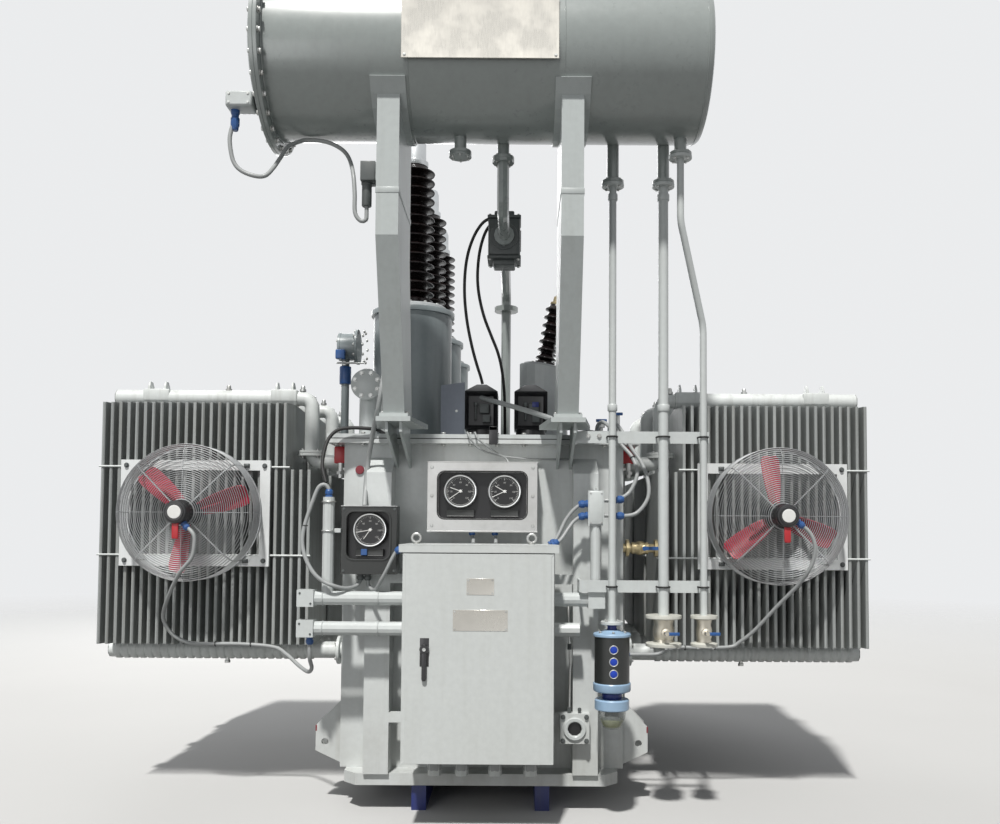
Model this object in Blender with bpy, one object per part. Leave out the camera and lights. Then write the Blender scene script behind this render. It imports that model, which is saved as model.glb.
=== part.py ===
"""Oil-filled power transformer with radiators, fans, conservator and control cabinet.

Frame: metres, +Z up. The long axis of the tank runs along Y, and -Y is the front, where the
control cabinet is. The origin is on the floor, at the middle of the object's own box.
"""
import math

import bmesh
import bpy
from mathutils import Matrix, Vector

# Clearances
GAP = 0.0003
RUNNING_GAP = 0.006
PIN_GAP = 0.0006
OVERRUN = 0.004

# Tank and base
TANK_WIDTH = 1.50
TANK_LENGTH = 3.50
TANK_TOP = 1.935
BASE_THICKNESS = 0.06
BASE_FRONT = 0.13
BASE_HALF = 0.715
BASE_CHAMFER = 0.07
SKID_HEIGHT = 0.135
SKID_WIDTH = 0.076
SKID_SPACING = 0.64
PLATE_THICKNESS = 0.024
RIM_OVERHANG = 0.08

# Conservator
SHELL_RADIUS = 0.372
SHELL_LENGTH = 2.16
SHELL_HEIGHT = 3.755
SHELL_AHEAD = 0.50
SHELL_SIDES = 32
FLANGE_RADIUS = 0.437
FLANGE_THICKNESS = 0.018
FLANGE_INSET = 0.055

# Radiators
RADIATOR_ROWS = 3
RADIATOR_FIRST = 0.31
RADIATOR_PITCH = 0.58
FIN_COUNT = 26
SHORT_FINS = 3
FIN_PITCH = 0.045
FIN_THICKNESS = 0.016
FIN_START = 0.955
FIN_DEPTH = 0.48
HEADER_RADIUS = 0.0425
HEADER_TOP = 2.195
HEADER_BOTTOM = 0.771

# Control cabinet
CABINET_WIDTH = 0.732
CABINET_HEIGHT = 1.005
CABINET_DEPTH = 0.35
CABINET_BOTTOM = 0.339
CABINET_FRONT = 0.50
SHEET = 0.012
DOOR_THICKNESS = 0.02

# Overall reach, which puts the origin at the middle of the object's box
OBJECT_FRONT = SHELL_AHEAD + FLANGE_RADIUS
OBJECT_BACK = TANK_LENGTH + RIM_OVERHANG
FRONT = (OBJECT_FRONT - OBJECT_BACK) / 2
BACK = FRONT + TANK_LENGTH
SHELL_Y = FRONT - SHELL_AHEAD
SIDE = TANK_WIDTH / 2
BASE_TOP = SKID_HEIGHT + BASE_THICKNESS
COVER_TOP = TANK_TOP + GAP + PLATE_THICKNESS

FINISHES = {
    "paint": ((0.60, 0.63, 0.63), 0.45, 0.0),
    "shell paint": ((0.42, 0.46, 0.45), 0.4, 0.0),
    "fin paint": ((0.42, 0.44, 0.45), 0.5, 0.0),
    "turret paint": ((0.20, 0.23, 0.24), 0.5, 0.0),
    "blue": ((0.02, 0.05, 0.35), 0.5, 0.0),
    "cast": ((0.08, 0.09, 0.09), 0.6, 0.0),
    "black": ((0.01, 0.01, 0.012), 0.45, 0.0),
    "glaze": ((0.012, 0.010, 0.012), 0.2, 0.0),
    "red": ((0.50, 0.02, 0.04), 0.5, 0.0),
    "steel": ((0.55, 0.56, 0.57), 0.35, 0.9),
    "brass": ((0.45, 0.34, 0.14), 0.4, 0.8),
    "plate": ((0.75, 0.72, 0.62), 0.5, 0.2),
    "conduit": ((0.25, 0.26, 0.27), 0.6, 0.0),
}


def clear_scene():
    for item in list(bpy.data.objects):
        bpy.data.objects.remove(item, do_unlink=True)


def make_material(name, finish):
    colour, roughness, metallic = FINISHES[finish]
    material = bpy.data.materials.new(name)
    material.use_nodes = True
    shader = material.node_tree.nodes["Principled BSDF"]
    shader.inputs["Base Color"].default_value = (*colour, 1.0)
    shader.inputs["Roughness"].default_value = roughness
    shader.inputs["Metallic"].default_value = metallic
    return material


def link_mesh(bm, name="shape"):
    bmesh.ops.recalc_face_normals(bm, faces=bm.faces)
    mesh = bpy.data.meshes.new(name)
    bm.to_mesh(mesh)
    bm.free()
    shape = bpy.data.objects.new(name, mesh)
    bpy.context.scene.collection.objects.link(shape)
    return shape


def finish_piece(shape, name, finish, smooth_angle=0.6):
    """Name a shape as a node of the object and give it its own material."""
    shape.name = name
    shape.data.name = name
    shape.data.materials.clear()
    shape.data.materials.append(make_material(name, finish))
    if shape.type == "MESH":
        shape.data.shade_smooth()
        shape.data.set_sharp_from_angle(angle=smooth_angle)
    return shape


def block(low, high):
    """A box between two corners."""
    bm = bmesh.new()
    bmesh.ops.create_cube(bm, size=1.0)
    size = Vector(high) - Vector(low)
    middle = (Vector(high) + Vector(low)) / 2
    bmesh.ops.scale(bm, vec=size, verts=bm.verts)
    bmesh.ops.translate(bm, vec=middle, verts=bm.verts)
    return link_mesh(bm)


def extrusion(outline, axis, low, high):
    """A plane outline carried along one axis, from low to high."""
    bm = bmesh.new()
    place = {
        "X": lambda point: (low, point[0], point[1]),
        "Y": lambda point: (point[0], low, point[1]),
        "Z": lambda point: (point[0], point[1], low),
    }[axis]
    face = bm.faces.new([bm.verts.new(place(point)) for point in outline])
    travel = Vector([(high - low) if letter == axis else 0.0 for letter in "XYZ"])
    grown = bmesh.ops.extrude_face_region(bm, geom=[face], use_keep_orig=True)
    moved = [item for item in grown["geom"] if isinstance(item, bmesh.types.BMVert)]
    bmesh.ops.translate(bm, vec=travel, verts=moved)
    return link_mesh(bm)


def turned(profile, sides, centre, direction=(0, 0, 1), closed=False):
    """A solid of revolution. The profile is (radius, height) points, along the given direction."""
    bm = bmesh.new()
    rings = []
    for radius, height in profile:
        if radius == 0:
            rings.append([bm.verts.new((0, 0, height))])
            continue
        ring = []
        for side in range(sides):
            angle = 2 * math.pi * side / sides
            ring.append(bm.verts.new((radius * math.cos(angle), radius * math.sin(angle), height)))
        rings.append(ring)
    pairs = list(zip(rings, rings[1:]))
    if closed:
        pairs.append((rings[-1], rings[0]))
    for lower, upper in pairs:
        for side in range(sides):
            following = (side + 1) % sides
            corners = [lower[side % len(lower)], lower[following % len(lower)]]
            corners += [upper[following % len(upper)], upper[side % len(upper)]]
            corners = list(dict.fromkeys(corners))
            bm.faces.new(corners)
    if not closed:
        for ring in (rings[0], rings[-1]):
            if len(ring) > 1:
                bm.faces.new(ring)
    turn = Vector((0, 0, 1)).rotation_difference(Vector(direction).normalized())
    bmesh.ops.rotate(bm, matrix=turn.to_matrix(), cent=(0, 0, 0), verts=bm.verts)
    bmesh.ops.translate(bm, vec=Vector(centre), verts=bm.verts)
    return link_mesh(bm)


def rod(radius, start, end, sides=12):
    """A plain round bar between two points."""
    length = (Vector(end) - Vector(start)).length
    return turned([(radius, 0), (radius, length)], sides, start, Vector(end) - Vector(start))


def round_path(points, bend, steps=4):
    """A path whose inner corners are turned into arcs of about the given bend."""
    path = [Vector(points[0])]
    for before, corner, after in zip(points, points[1:], points[2:]):
        corner = Vector(corner)
        back = (Vector(before) - corner).normalized()
        ahead = (Vector(after) - corner).normalized()
        for step in range(steps + 1):
            share = step / steps
            start = corner + back * bend
            end = corner + ahead * bend
            first = start.lerp(corner, share)
            second = corner.lerp(end, share)
            path.append(first.lerp(second, share))
    path.append(Vector(points[-1]))
    return path


def pipe(points, radius, bend=0.0, resolution=2, steps=4):
    """A round tube along a path, as a curve with a bevel and filled caps."""
    path = round_path(points, bend, steps) if bend else [Vector(point) for point in points]
    curve = bpy.data.curves.new("pipe", "CURVE")
    curve.dimensions = "3D"
    curve.bevel_depth = radius
    curve.bevel_resolution = resolution
    curve.use_fill_caps = True
    spline = curve.splines.new("POLY")
    spline.points.add(len(path) - 1)
    for point, place in zip(spline.points, path):
        point.co = (*place, 1.0)
    shape = bpy.data.objects.new("pipe", curve)
    bpy.context.scene.collection.objects.link(shape)
    return shape


def as_mesh(shape):
    """Turn a curve object into a mesh object, so that it can be fused."""
    if shape.type == "MESH":
        return shape
    bpy.context.view_layer.update()
    graph = bpy.context.evaluated_depsgraph_get()
    mesh = bpy.data.meshes.new_from_object(shape.evaluated_get(graph))
    bm = bmesh.new()
    bm.from_mesh(mesh)
    bmesh.ops.remove_doubles(bm, verts=bm.verts, dist=GAP / 10)
    bpy.data.objects.remove(shape, do_unlink=True)
    bpy.data.meshes.remove(mesh)
    return link_mesh(bm)


def combine(shape, others, operation):
    for other in others:
        other = as_mesh(other)
        modifier = shape.modifiers.new("combine", "BOOLEAN")
        modifier.operation = operation
        modifier.object = other
        with bpy.context.temp_override(object=shape):
            bpy.ops.object.modifier_apply(modifier=modifier.name)
        bpy.data.objects.remove(other, do_unlink=True)
    return shape


def fuse(shape, *others):
    return combine(as_mesh(shape), others, "UNION")


def cut(shape, *others):
    return combine(as_mesh(shape), others, "DIFFERENCE")


# Base, skids and tank
SKID_REACH = 0.10
STIFFENER_INNER = 0.475
STIFFENER_WIDTH = 0.13
STIFFENER_PROUD = 0.15
STIFFENER_TOP = 1.84
STIFFENER_SLANT = 0.09
SIDE_STIFFENERS = 5
SIDE_STIFFENER_WIDTH = 0.12
SIDE_STIFFENER_PROUD = 0.07
HALF_PITCH_SHARE = 0.5
LUG_REACH = 0.134
LUG_TOP = 0.543
LUG_SHOULDER = 0.409
LUG_NOSE = 0.276
LUG_BOTTOM = 0.214
LUG_PLATE = 0.025
LUG_DEPTH = 0.18
LUG_SHELF = 0.375
LUG_HOLE = 0.019
LUG_HOLE_REACH = 0.085
LUG_HOLE_HEIGHT = 0.322
LUG_INSET = 0.13
LUG_ROOT = 0.02
RAIL_HEIGHT = 0.05
RAIL_DEPTH = 0.04
RAIL_INSET = 0.12
SAMPLE_X = 0.482
SAMPLE_HEIGHT = 0.444
SAMPLE_HALF = 0.075
SAMPLE_DEPTH = 0.06
SAMPLE_HOLE = 0.036


def build_skids():
    for side, name in ((-1, "skid_left"), (1, "skid_right")):
        middle = side * SKID_SPACING / 2
        low = (middle - SKID_WIDTH / 2, FRONT - SKID_REACH, 0)
        high = (middle + SKID_WIDTH / 2, BACK + SKID_REACH - RIM_OVERHANG, SKID_HEIGHT - GAP)
        finish_piece(block(low, high), name, "blue")


def build_base():
    front = FRONT - BASE_FRONT
    back = BACK + RIM_OVERHANG / 2
    outline = [
        (-BASE_HALF + BASE_CHAMFER, front),
        (BASE_HALF - BASE_CHAMFER, front),
        (BASE_HALF, front + BASE_CHAMFER),
        (BASE_HALF, back),
        (-BASE_HALF, back),
        (-BASE_HALF, front + BASE_CHAMFER),
    ]
    shape = extrusion(outline, "Z", SKID_HEIGHT, BASE_TOP)
    finish_piece(shape, "base_plate", "paint")


def lug_shape(side, plate_y, facing):
    """A jacking lug: an upright plate with a lifting hole, and a shelf and rear web behind it."""
    root = side * (SIDE - LUG_ROOT)
    tip = side * (SIDE + LUG_REACH)
    outline = [
        (root, LUG_TOP + LUG_ROOT),
        (tip, LUG_SHOULDER),
        (tip, LUG_NOSE),
        (side * SIDE, LUG_BOTTOM),
        (root, LUG_BOTTOM),
    ]
    far = plate_y + facing * LUG_DEPTH
    plate = extrusion(outline, "Y", plate_y, plate_y + facing * LUG_PLATE)
    web = extrusion(outline, "Y", far - facing * LUG_PLATE, far)
    ends = sorted((plate_y + facing * LUG_PLATE / 2, far - facing * LUG_PLATE / 2))
    reach = sorted((root, tip - side * LUG_ROOT))
    shelf = block((reach[0], ends[0], LUG_SHELF), (reach[1], ends[1], LUG_SHELF + LUG_PLATE))
    hole_x = side * (SIDE + LUG_HOLE_REACH)
    start = (hole_x, plate_y - facing * OVERRUN, LUG_HOLE_HEIGHT)
    end = (hole_x, far + facing * OVERRUN, LUG_HOLE_HEIGHT)
    return cut(fuse(plate, shelf, web), rod(LUG_HOLE, start, end))


def build_tank():
    bottom = BASE_TOP + GAP
    tank = block((-SIDE, FRONT, bottom), (SIDE, BACK, TANK_TOP))
    rim_low = (-SIDE - RIM_OVERHANG, FRONT - RIM_OVERHANG, TANK_TOP - PLATE_THICKNESS)
    rim_high = (SIDE + RIM_OVERHANG, BACK + RIM_OVERHANG, TANK_TOP)
    additions = [block(rim_low, rim_high)]
    for side in (-1, 1):
        near = side * STIFFENER_INNER
        far = side * (STIFFENER_INNER + STIFFENER_WIDTH)
        profile = [
            (FRONT + OVERRUN, bottom),
            (FRONT - STIFFENER_PROUD, bottom),
            (FRONT - STIFFENER_PROUD, STIFFENER_TOP - STIFFENER_SLANT),
            (FRONT + OVERRUN, STIFFENER_TOP),
        ]
        additions.append(extrusion(profile, "X", min(near, far), max(near, far)))
    under_rim = TANK_TOP - PLATE_THICKNESS / 2
    for side in (-1, 1):
        for number in range(SIDE_STIFFENERS):
            middle = FRONT + RADIATOR_FIRST + RADIATOR_PITCH * (number + HALF_PITCH_SHARE)
            wall = sorted((side * (SIDE - OVERRUN), side * (SIDE + SIDE_STIFFENER_PROUD)))
            low = (wall[0], middle - SIDE_STIFFENER_WIDTH / 2, bottom)
            high = (wall[1], middle + SIDE_STIFFENER_WIDTH / 2, under_rim)
            additions.append(block(low, high))
        additions.append(lug_shape(side, FRONT + LUG_ROOT, 1))
        additions.append(lug_shape(side, BACK - LUG_ROOT, -1))
    for side in (-1, 1):
        near = side * STIFFENER_INNER
        far = side * (STIFFENER_INNER + STIFFENER_WIDTH)
        low = (min(near, far), BACK - OVERRUN, bottom)
        high = (max(near, far), BACK + RIM_OVERHANG / 2, STIFFENER_TOP - STIFFENER_SLANT)
        additions.append(block(low, high))
    additions += cabinet_rails()
    additions.append(sampling_valve())
    finish_piece(fuse(tank, *additions), "tank", "paint")


def cabinet_rails():
    """Two cross rails and an upright between the front stiffeners, for the cabinet to hang on."""
    top = CABINET_BOTTOM + CABINET_HEIGHT
    face = FRONT - STIFFENER_PROUD
    reach = STIFFENER_INNER + OVERRUN
    rails = []
    for level in (CABINET_BOTTOM + RAIL_INSET, top - RAIL_INSET - RAIL_HEIGHT):
        rails.append(block((-reach, face, level), (reach, face + RAIL_DEPTH, level + RAIL_HEIGHT)))
    low = (-RAIL_HEIGHT / 2, face + GAP, CABINET_BOTTOM + RAIL_INSET + OVERRUN)
    high = (RAIL_HEIGHT / 2, face + RAIL_DEPTH - GAP, top - RAIL_INSET - OVERRUN)
    rails.append(block(low, high))
    return rails


def sampling_valve():
    """A square box with a round recess, low on the right stiffener."""
    back = FRONT - STIFFENER_PROUD + OVERRUN
    front = FRONT - STIFFENER_PROUD - SAMPLE_DEPTH
    low = (SAMPLE_X - SAMPLE_HALF, front, SAMPLE_HEIGHT - SAMPLE_HALF)
    high = (SAMPLE_X + SAMPLE_HALF, back, SAMPLE_HEIGHT + SAMPLE_HALF)
    hole_start = (SAMPLE_X, front - OVERRUN, SAMPLE_HEIGHT)
    hole_end = (SAMPLE_X, front + SAMPLE_DEPTH / 2, SAMPLE_HEIGHT)
    return cut(block(low, high), rod(SAMPLE_HOLE, hole_start, hole_end, STUB_SIDES))


# Cover with the turrets that carry the bushings
TURRET_X = -0.48
TURRET_FIRST = 0.80
TURRET_PITCH = 0.95
TURRET_RADIUS = 0.24
TURRET_FLANGE = 0.285
TURRET_HEIGHT = 2.805
TURRET_LIP = 0.03
LV_X = 0.34
LV_RADIUS = 0.15
LV_HEIGHT = 2.46
LV_LEAN = math.radians(11)
LV_FLANGE = 0.018
TURRET_SIDES = 16


def turret_shape(x, y, radius, flange, top):
    base = COVER_TOP - PLATE_THICKNESS / 2
    lip = COVER_TOP + TURRET_LIP
    profile = [(flange, base), (flange, lip), (radius, lip)]
    profile += [(radius, top - TURRET_LIP), (radius + LV_FLANGE, top - TURRET_LIP)]
    profile += [(radius + LV_FLANGE, top)]
    return turned(profile, TURRET_SIDES, (x, y, 0))


def lv_turret(y):
    """A short turret whose top is cut at right angles to the leaning bushing."""
    base = COVER_TOP - PLATE_THICKNESS / 2
    lip = COVER_TOP + TURRET_LIP
    flange = LV_RADIUS + LV_FLANGE
    profile = [(flange, base), (flange, lip), (LV_RADIUS, lip), (LV_RADIUS, LV_HEIGHT + LV_RADIUS)]
    shape = turned(profile, TURRET_SIDES, (LV_X, y, 0))
    bm = bmesh.new()
    bm.from_mesh(shape.data)
    axis = Vector((math.sin(LV_LEAN), 0, math.cos(LV_LEAN)))
    everything = bm.verts[:] + bm.edges[:] + bm.faces[:]
    sliced = bmesh.ops.bisect_plane(
        bm, geom=everything, plane_co=(LV_X, y, LV_HEIGHT), plane_no=axis, clear_outer=True)
    edges = [item for item in sliced["geom_cut"] if isinstance(item, bmesh.types.BMEdge)]
    bmesh.ops.contextual_create(bm, geom=edges)
    bpy.data.objects.remove(shape, do_unlink=True)
    return link_mesh(bm)


def build_cover():
    low = (-SIDE - RIM_OVERHANG, FRONT - RIM_OVERHANG, TANK_TOP + GAP)
    high = (SIDE + RIM_OVERHANG, BACK + RIM_OVERHANG, COVER_TOP)
    additions = []
    for number in range(3):
        y = FRONT + TURRET_FIRST + number * TURRET_PITCH
        additions.append(turret_shape(TURRET_X, y, TURRET_RADIUS, TURRET_FLANGE, TURRET_HEIGHT))
        additions.append(lv_turret(y))
    finish_piece(fuse(block(low, high), *additions), "tank_cover", "paint")


# Bushings
SHED_RADIUS = 0.1275
SHED_CORE = 0.082
SHED_COUNT = 12
SHEDS_BOTTOM = 2.905
SHEDS_TOP = 3.735
BUSHING_FLANGE = 0.21
BUSHING_FLANGE_HEIGHT = 0.04
BUSHING_COLLAR = 0.12
CAP_RADIUS = 0.07
CAP_TOP = 3.935
TERMINAL_RADIUS = 0.022
TERMINAL_HEIGHT = 0.06
LV_SHED_RADIUS = 0.065
LV_SHED_CORE = 0.04
LV_SHED_COUNT = 6
LV_SHEDS = 0.36
LV_NECK = 0.05
LV_CAP_RADIUS = 0.03
LV_CAP_HEIGHT = 0.07
BUSHING_SIDES = 12
LV_SIDES = 10
SHED_LIP_SHARE = 0.40


def shed_profile(core, tip, low, high, count):
    """Sheds with a sloped underside and a longer sloped top, from the bottom up."""
    pitch = (high - low) / count
    points = []
    for number in range(count):
        start = low + number * pitch
        points.append((core, start))
        points.append((tip, start + pitch * SHED_LIP_SHARE))
    points.append((core, high))
    return points


def build_bushings():
    for number, place in enumerate(("front", "middle", "rear")):
        y = FRONT + TURRET_FIRST + number * TURRET_PITCH
        bottom = TURRET_HEIGHT + GAP
        shoulder = bottom + BUSHING_FLANGE_HEIGHT
        profile = [(BUSHING_FLANGE, bottom), (BUSHING_FLANGE, shoulder)]
        profile += [(BUSHING_COLLAR, shoulder), (BUSHING_COLLAR, SHEDS_BOTTOM)]
        profile += shed_profile(SHED_CORE, SHED_RADIUS, SHEDS_BOTTOM, SHEDS_TOP, SHED_COUNT)
        profile += [(CAP_RADIUS, SHEDS_TOP), (CAP_RADIUS, CAP_TOP)]
        profile += [(TERMINAL_RADIUS, CAP_TOP), (TERMINAL_RADIUS, CAP_TOP + TERMINAL_HEIGHT)]
        shape = turned(profile, BUSHING_SIDES, (TURRET_X, y, 0))
        finish_piece(shape, "hv_bushing_" + place, "glaze")

        axis = Vector((math.sin(LV_LEAN), 0, math.cos(LV_LEAN)))
        foot = Vector((LV_X, y, LV_HEIGHT)) + axis * GAP
        sheds_end = LV_NECK + LV_SHEDS
        profile = [(LV_RADIUS - LV_FLANGE, 0), (LV_RADIUS - LV_FLANGE, LV_FLANGE)]
        profile += [(LV_SHED_RADIUS, LV_FLANGE), (LV_SHED_RADIUS, LV_NECK)]
        profile += shed_profile(LV_SHED_CORE, LV_SHED_RADIUS, LV_NECK, sheds_end, LV_SHED_COUNT)
        profile += [(LV_CAP_RADIUS, sheds_end), (LV_CAP_RADIUS, sheds_end + LV_CAP_HEIGHT)]
        shape = turned(profile, LV_SIDES, foot, axis)
        finish_piece(shape, "lv_bushing_" + place, "glaze")


# Conservator, with the flanged stubs that its pipes hang from
END_DISH = 0.03
STUB_RADIUS = 0.03
STUB_FLANGE = 0.055
STUB_PLATE = 0.016
STUB_SIDES = 10
BREATHER_X = 0.655
BREATHER_AHEAD = 0.37
DRAIN_X = 0.91
FILL_X = 0.975
FILL_LOW_X = 1.11
FLANGE_LEVEL = 3.205
FILL_LEVEL = 3.30
RELAY_X = 0.10
RELAY_AHEAD = 0.38
RELAY_LEVEL = 3.32
SPARE_X = -0.11
SPARE_LEVEL = 3.30
PLATE_WIDTH = 0.72
PLATE_HEIGHT = 0.315
PLATE_SHEET = 0.006
GAUGE_BOX = (0.13, 0.10, 0.09)
GAUGE_DROP = 0.28
GAUGE_AHEAD = 0.19
END_PAD = (0.03, 0.10, 0.19)
END_PAD_DROP = 0.15


def stub(x, y, level):
    """A short pipe down from the shell, with a flange at its lower end."""
    profile = [(STUB_FLANGE, level), (STUB_FLANGE, level + STUB_PLATE)]
    profile += [(STUB_RADIUS, level + STUB_PLATE), (STUB_RADIUS, SHELL_HEIGHT - SHELL_RADIUS / 2)]
    return turned(profile, STUB_SIDES, (x, y, 0))


def stubs():
    front = FRONT - BREATHER_AHEAD
    return [
        stub(BREATHER_X, front, FLANGE_LEVEL),
        stub(DRAIN_X, front, FLANGE_LEVEL),
        stub(FILL_X, SHELL_Y, FILL_LEVEL),
        stub(RELAY_X, FRONT - RELAY_AHEAD, RELAY_LEVEL),
        stub(SPARE_X, SHELL_Y, SPARE_LEVEL),
    ]


def build_conservator():
    half = SHELL_LENGTH / 2
    joint = -half + FLANGE_INSET
    centre = (0, SHELL_Y, SHELL_HEIGHT)
    along = (1, 0, 0)
    profile = [
        (FLANGE_RADIUS, joint),
        (FLANGE_RADIUS, joint + FLANGE_THICKNESS),
        (SHELL_RADIUS, joint + FLANGE_THICKNESS),
        (SHELL_RADIUS, half - END_DISH),
        (SHELL_RADIUS - END_DISH, half),
    ]
    shell = turned(profile, SHELL_SIDES, centre, along)
    pad_top = SHELL_HEIGHT + END_PAD[2] - END_PAD_DROP
    low = (half - END_DISH, SHELL_Y - END_PAD[1] / 2, pad_top - END_PAD[2])
    high = (half + END_PAD[0], SHELL_Y + END_PAD[1] / 2, pad_top)
    finish_piece(fuse(shell, block(low, high), *stubs()), "conservator_shell", "shell paint")

    face = joint - GAP
    profile = [
        (SHELL_RADIUS - END_DISH, face - FLANGE_THICKNESS - END_DISH),
        (SHELL_RADIUS, face - FLANGE_THICKNESS),
        (FLANGE_RADIUS, face - FLANGE_THICKNESS),
        (FLANGE_RADIUS, face),
    ]
    cover = turned(profile, SHELL_SIDES, centre, along)
    finish_piece(cover, "conservator_end_cover", "shell paint")

    end = face - FLANGE_THICKNESS - END_DISH - GAP
    wide, deep, tall = GAUGE_BOX
    gauge_y = SHELL_Y - GAUGE_AHEAD
    gauge_z = SHELL_HEIGHT - GAUGE_DROP
    low = (end - wide, gauge_y - deep / 2, gauge_z - tall / 2)
    high = (end, gauge_y + deep / 2, gauge_z + tall / 2)
    finish_piece(block(low, high), "level_gauge", "cast")

    plate_back = SHELL_Y - SHELL_RADIUS - GAP
    low = (-PLATE_WIDTH / 2, plate_back - PLATE_SHEET, SHELL_HEIGHT - PLATE_HEIGHT / 2)
    high = (PLATE_WIDTH / 2, plate_back, SHELL_HEIGHT + PLATE_HEIGHT / 2)
    finish_piece(block(low, high), "conservator_plate", "plate")


# Conservator legs and the brackets under them
LEG_SPACING = 0.86
LEG_WIDTH = 0.105
LEG_BEND = 2.815
LEG_FOOT_AHEAD = 0.43
LEG_FOOT_DEPTH = 0.34
FOOT_PLATE = 0.018
SADDLE_THICKNESS = 0.012
SADDLE_WIDTH = 0.165
SADDLE_STEPS_FRONT = 5
SADDLE_STEPS_BACK = 3
LEG_STEPS_FRONT = 4
BRACKET_TOP = 2.008
BRACKET_PLATE = 0.024
BRACKET_TIP = 0.17
BRACKET_ROOT = 0.27
BRACKET_REACH = 0.465
GUSSET_SPACING = 0.07
GUSSET_PLATE = 0.014
GUSSET_NOSE = 0.05
GUSSET_ROOT = 0.13
LEG_BOX_X = -0.57
LEG_BOX_AHEAD = (0.68, 0.60)
LEG_BOX_LEVEL = (3.105, 3.19)
LEG_SLEEVE_X = -0.545
LEG_SLEEVE_LOW = 2.99
LEG_SLEEVE_RADIUS = 0.022


def shell_point(step, radius):
    """A point of the shell's outline in the YZ plane, counted forward from its lowest point."""
    angle = 2 * math.pi * step / SHELL_SIDES
    return (SHELL_Y - radius * math.sin(angle), SHELL_HEIGHT - radius * math.cos(angle))


def build_legs():
    seat = SHELL_RADIUS + GAP
    outer = seat + SADDLE_THICKNESS
    steps = range(-SADDLE_STEPS_BACK, SADDLE_STEPS_FRONT + 1)
    saddle = [shell_point(step, seat) for step in steps]
    saddle += [shell_point(step, outer) for step in reversed(steps)]
    inside = (seat + outer) / 2
    top = [shell_point(step, inside) for step in range(-SADDLE_STEPS_BACK, LEG_STEPS_FRONT + 1)]
    foot_bottom = BRACKET_TOP + GAP
    foot_front = FRONT - LEG_FOOT_AHEAD
    foot_back = foot_front + LEG_FOOT_DEPTH
    side_view = top + [
        (top[-1][0], LEG_BEND),
        (foot_front, foot_bottom + FOOT_PLATE / 2),
        (foot_back - FOOT_PLATE, foot_bottom + FOOT_PLATE / 2),
        (top[0][0], LEG_BEND),
    ]
    for side, name in ((-1, "left"), (1, "right")):
        middle = side * LEG_SPACING / 2
        leg = extrusion(side_view, "X", middle - LEG_WIDTH / 2, middle + LEG_WIDTH / 2)
        pad = extrusion(saddle, "X", middle - SADDLE_WIDTH / 2, middle + SADDLE_WIDTH / 2)
        low = (middle - LEG_WIDTH / 2 - FOOT_PLATE, foot_front - FOOT_PLATE, foot_bottom)
        high = (middle + LEG_WIDTH / 2 + FOOT_PLATE, foot_back, foot_bottom + FOOT_PLATE)
        parts = [pad, block(low, high)]
        if side < 0:
            parts.append(leg_box(middle))
        finish_piece(fuse(leg, *parts), "conservator_leg_" + name, "paint")
        build_bracket(middle, name)


def leg_box(middle):
    """A small junction box on the outer side of the left leg, with a cable sleeve below it."""
    ahead, behind = LEG_BOX_AHEAD
    low = (LEG_BOX_X, FRONT - ahead, LEG_BOX_LEVEL[0])
    high = (middle - LEG_WIDTH / 2 + OVERRUN, FRONT - behind, LEG_BOX_LEVEL[1])
    y = FRONT - (ahead + behind) / 2
    inside = (LEG_BOX_LEVEL[0] + LEG_BOX_LEVEL[1]) / 2
    sleeve = rod(LEG_SLEEVE_RADIUS, (LEG_SLEEVE_X, y, LEG_SLEEVE_LOW), (LEG_SLEEVE_X, y, inside), STUB_SIDES)
    return fuse(block(low, high), sleeve)


def build_bracket(middle, name):
    root_y = FRONT - RIM_OVERHANG - GAP
    tip_y = FRONT - BRACKET_REACH
    outline = [
        (middle - BRACKET_TIP / 2, tip_y),
        (middle + BRACKET_TIP / 2, tip_y),
        (middle + BRACKET_ROOT / 2, root_y),
        (middle - BRACKET_ROOT / 2, root_y),
    ]
    shelf = extrusion(outline, "Z", BRACKET_TOP - BRACKET_PLATE, BRACKET_TOP)
    under_rim = TANK_TOP - PLATE_THICKNESS - GAP
    gusset = [
        (tip_y + GUSSET_NOSE / 2, BRACKET_TOP - BRACKET_PLATE / 2),
        (root_y, BRACKET_TOP - BRACKET_PLATE / 2),
        (root_y, under_rim),
        (FRONT - GAP, under_rim),
        (FRONT - GAP, under_rim - GUSSET_ROOT),
        (tip_y + GUSSET_NOSE / 2, BRACKET_TOP - BRACKET_PLATE - GUSSET_NOSE),
    ]
    plates = []
    for side in (-1, 1):
        place = middle + side * GUSSET_SPACING / 2
        plates.append(extrusion(gusset, "X", place - GUSSET_PLATE / 2, place + GUSSET_PLATE / 2))
    finish_piece(fuse(shelf, *plates), "leg_bracket_" + name, "paint")


# Gas relay and its pipes, from under the shell back to the cover
RELAY_PIPE_RADIUS = 0.03
RELAY_BACK = 0.12
RELAY_SIZE = (0.17, 0.20, 0.30)
RELAY_HEIGHT = 3.06
RELAY_BEND = 0.09
RISER_BEHIND = 1.00
RISER_HEIGHT = 2.985
RISER_FLANGE = 0.075


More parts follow.
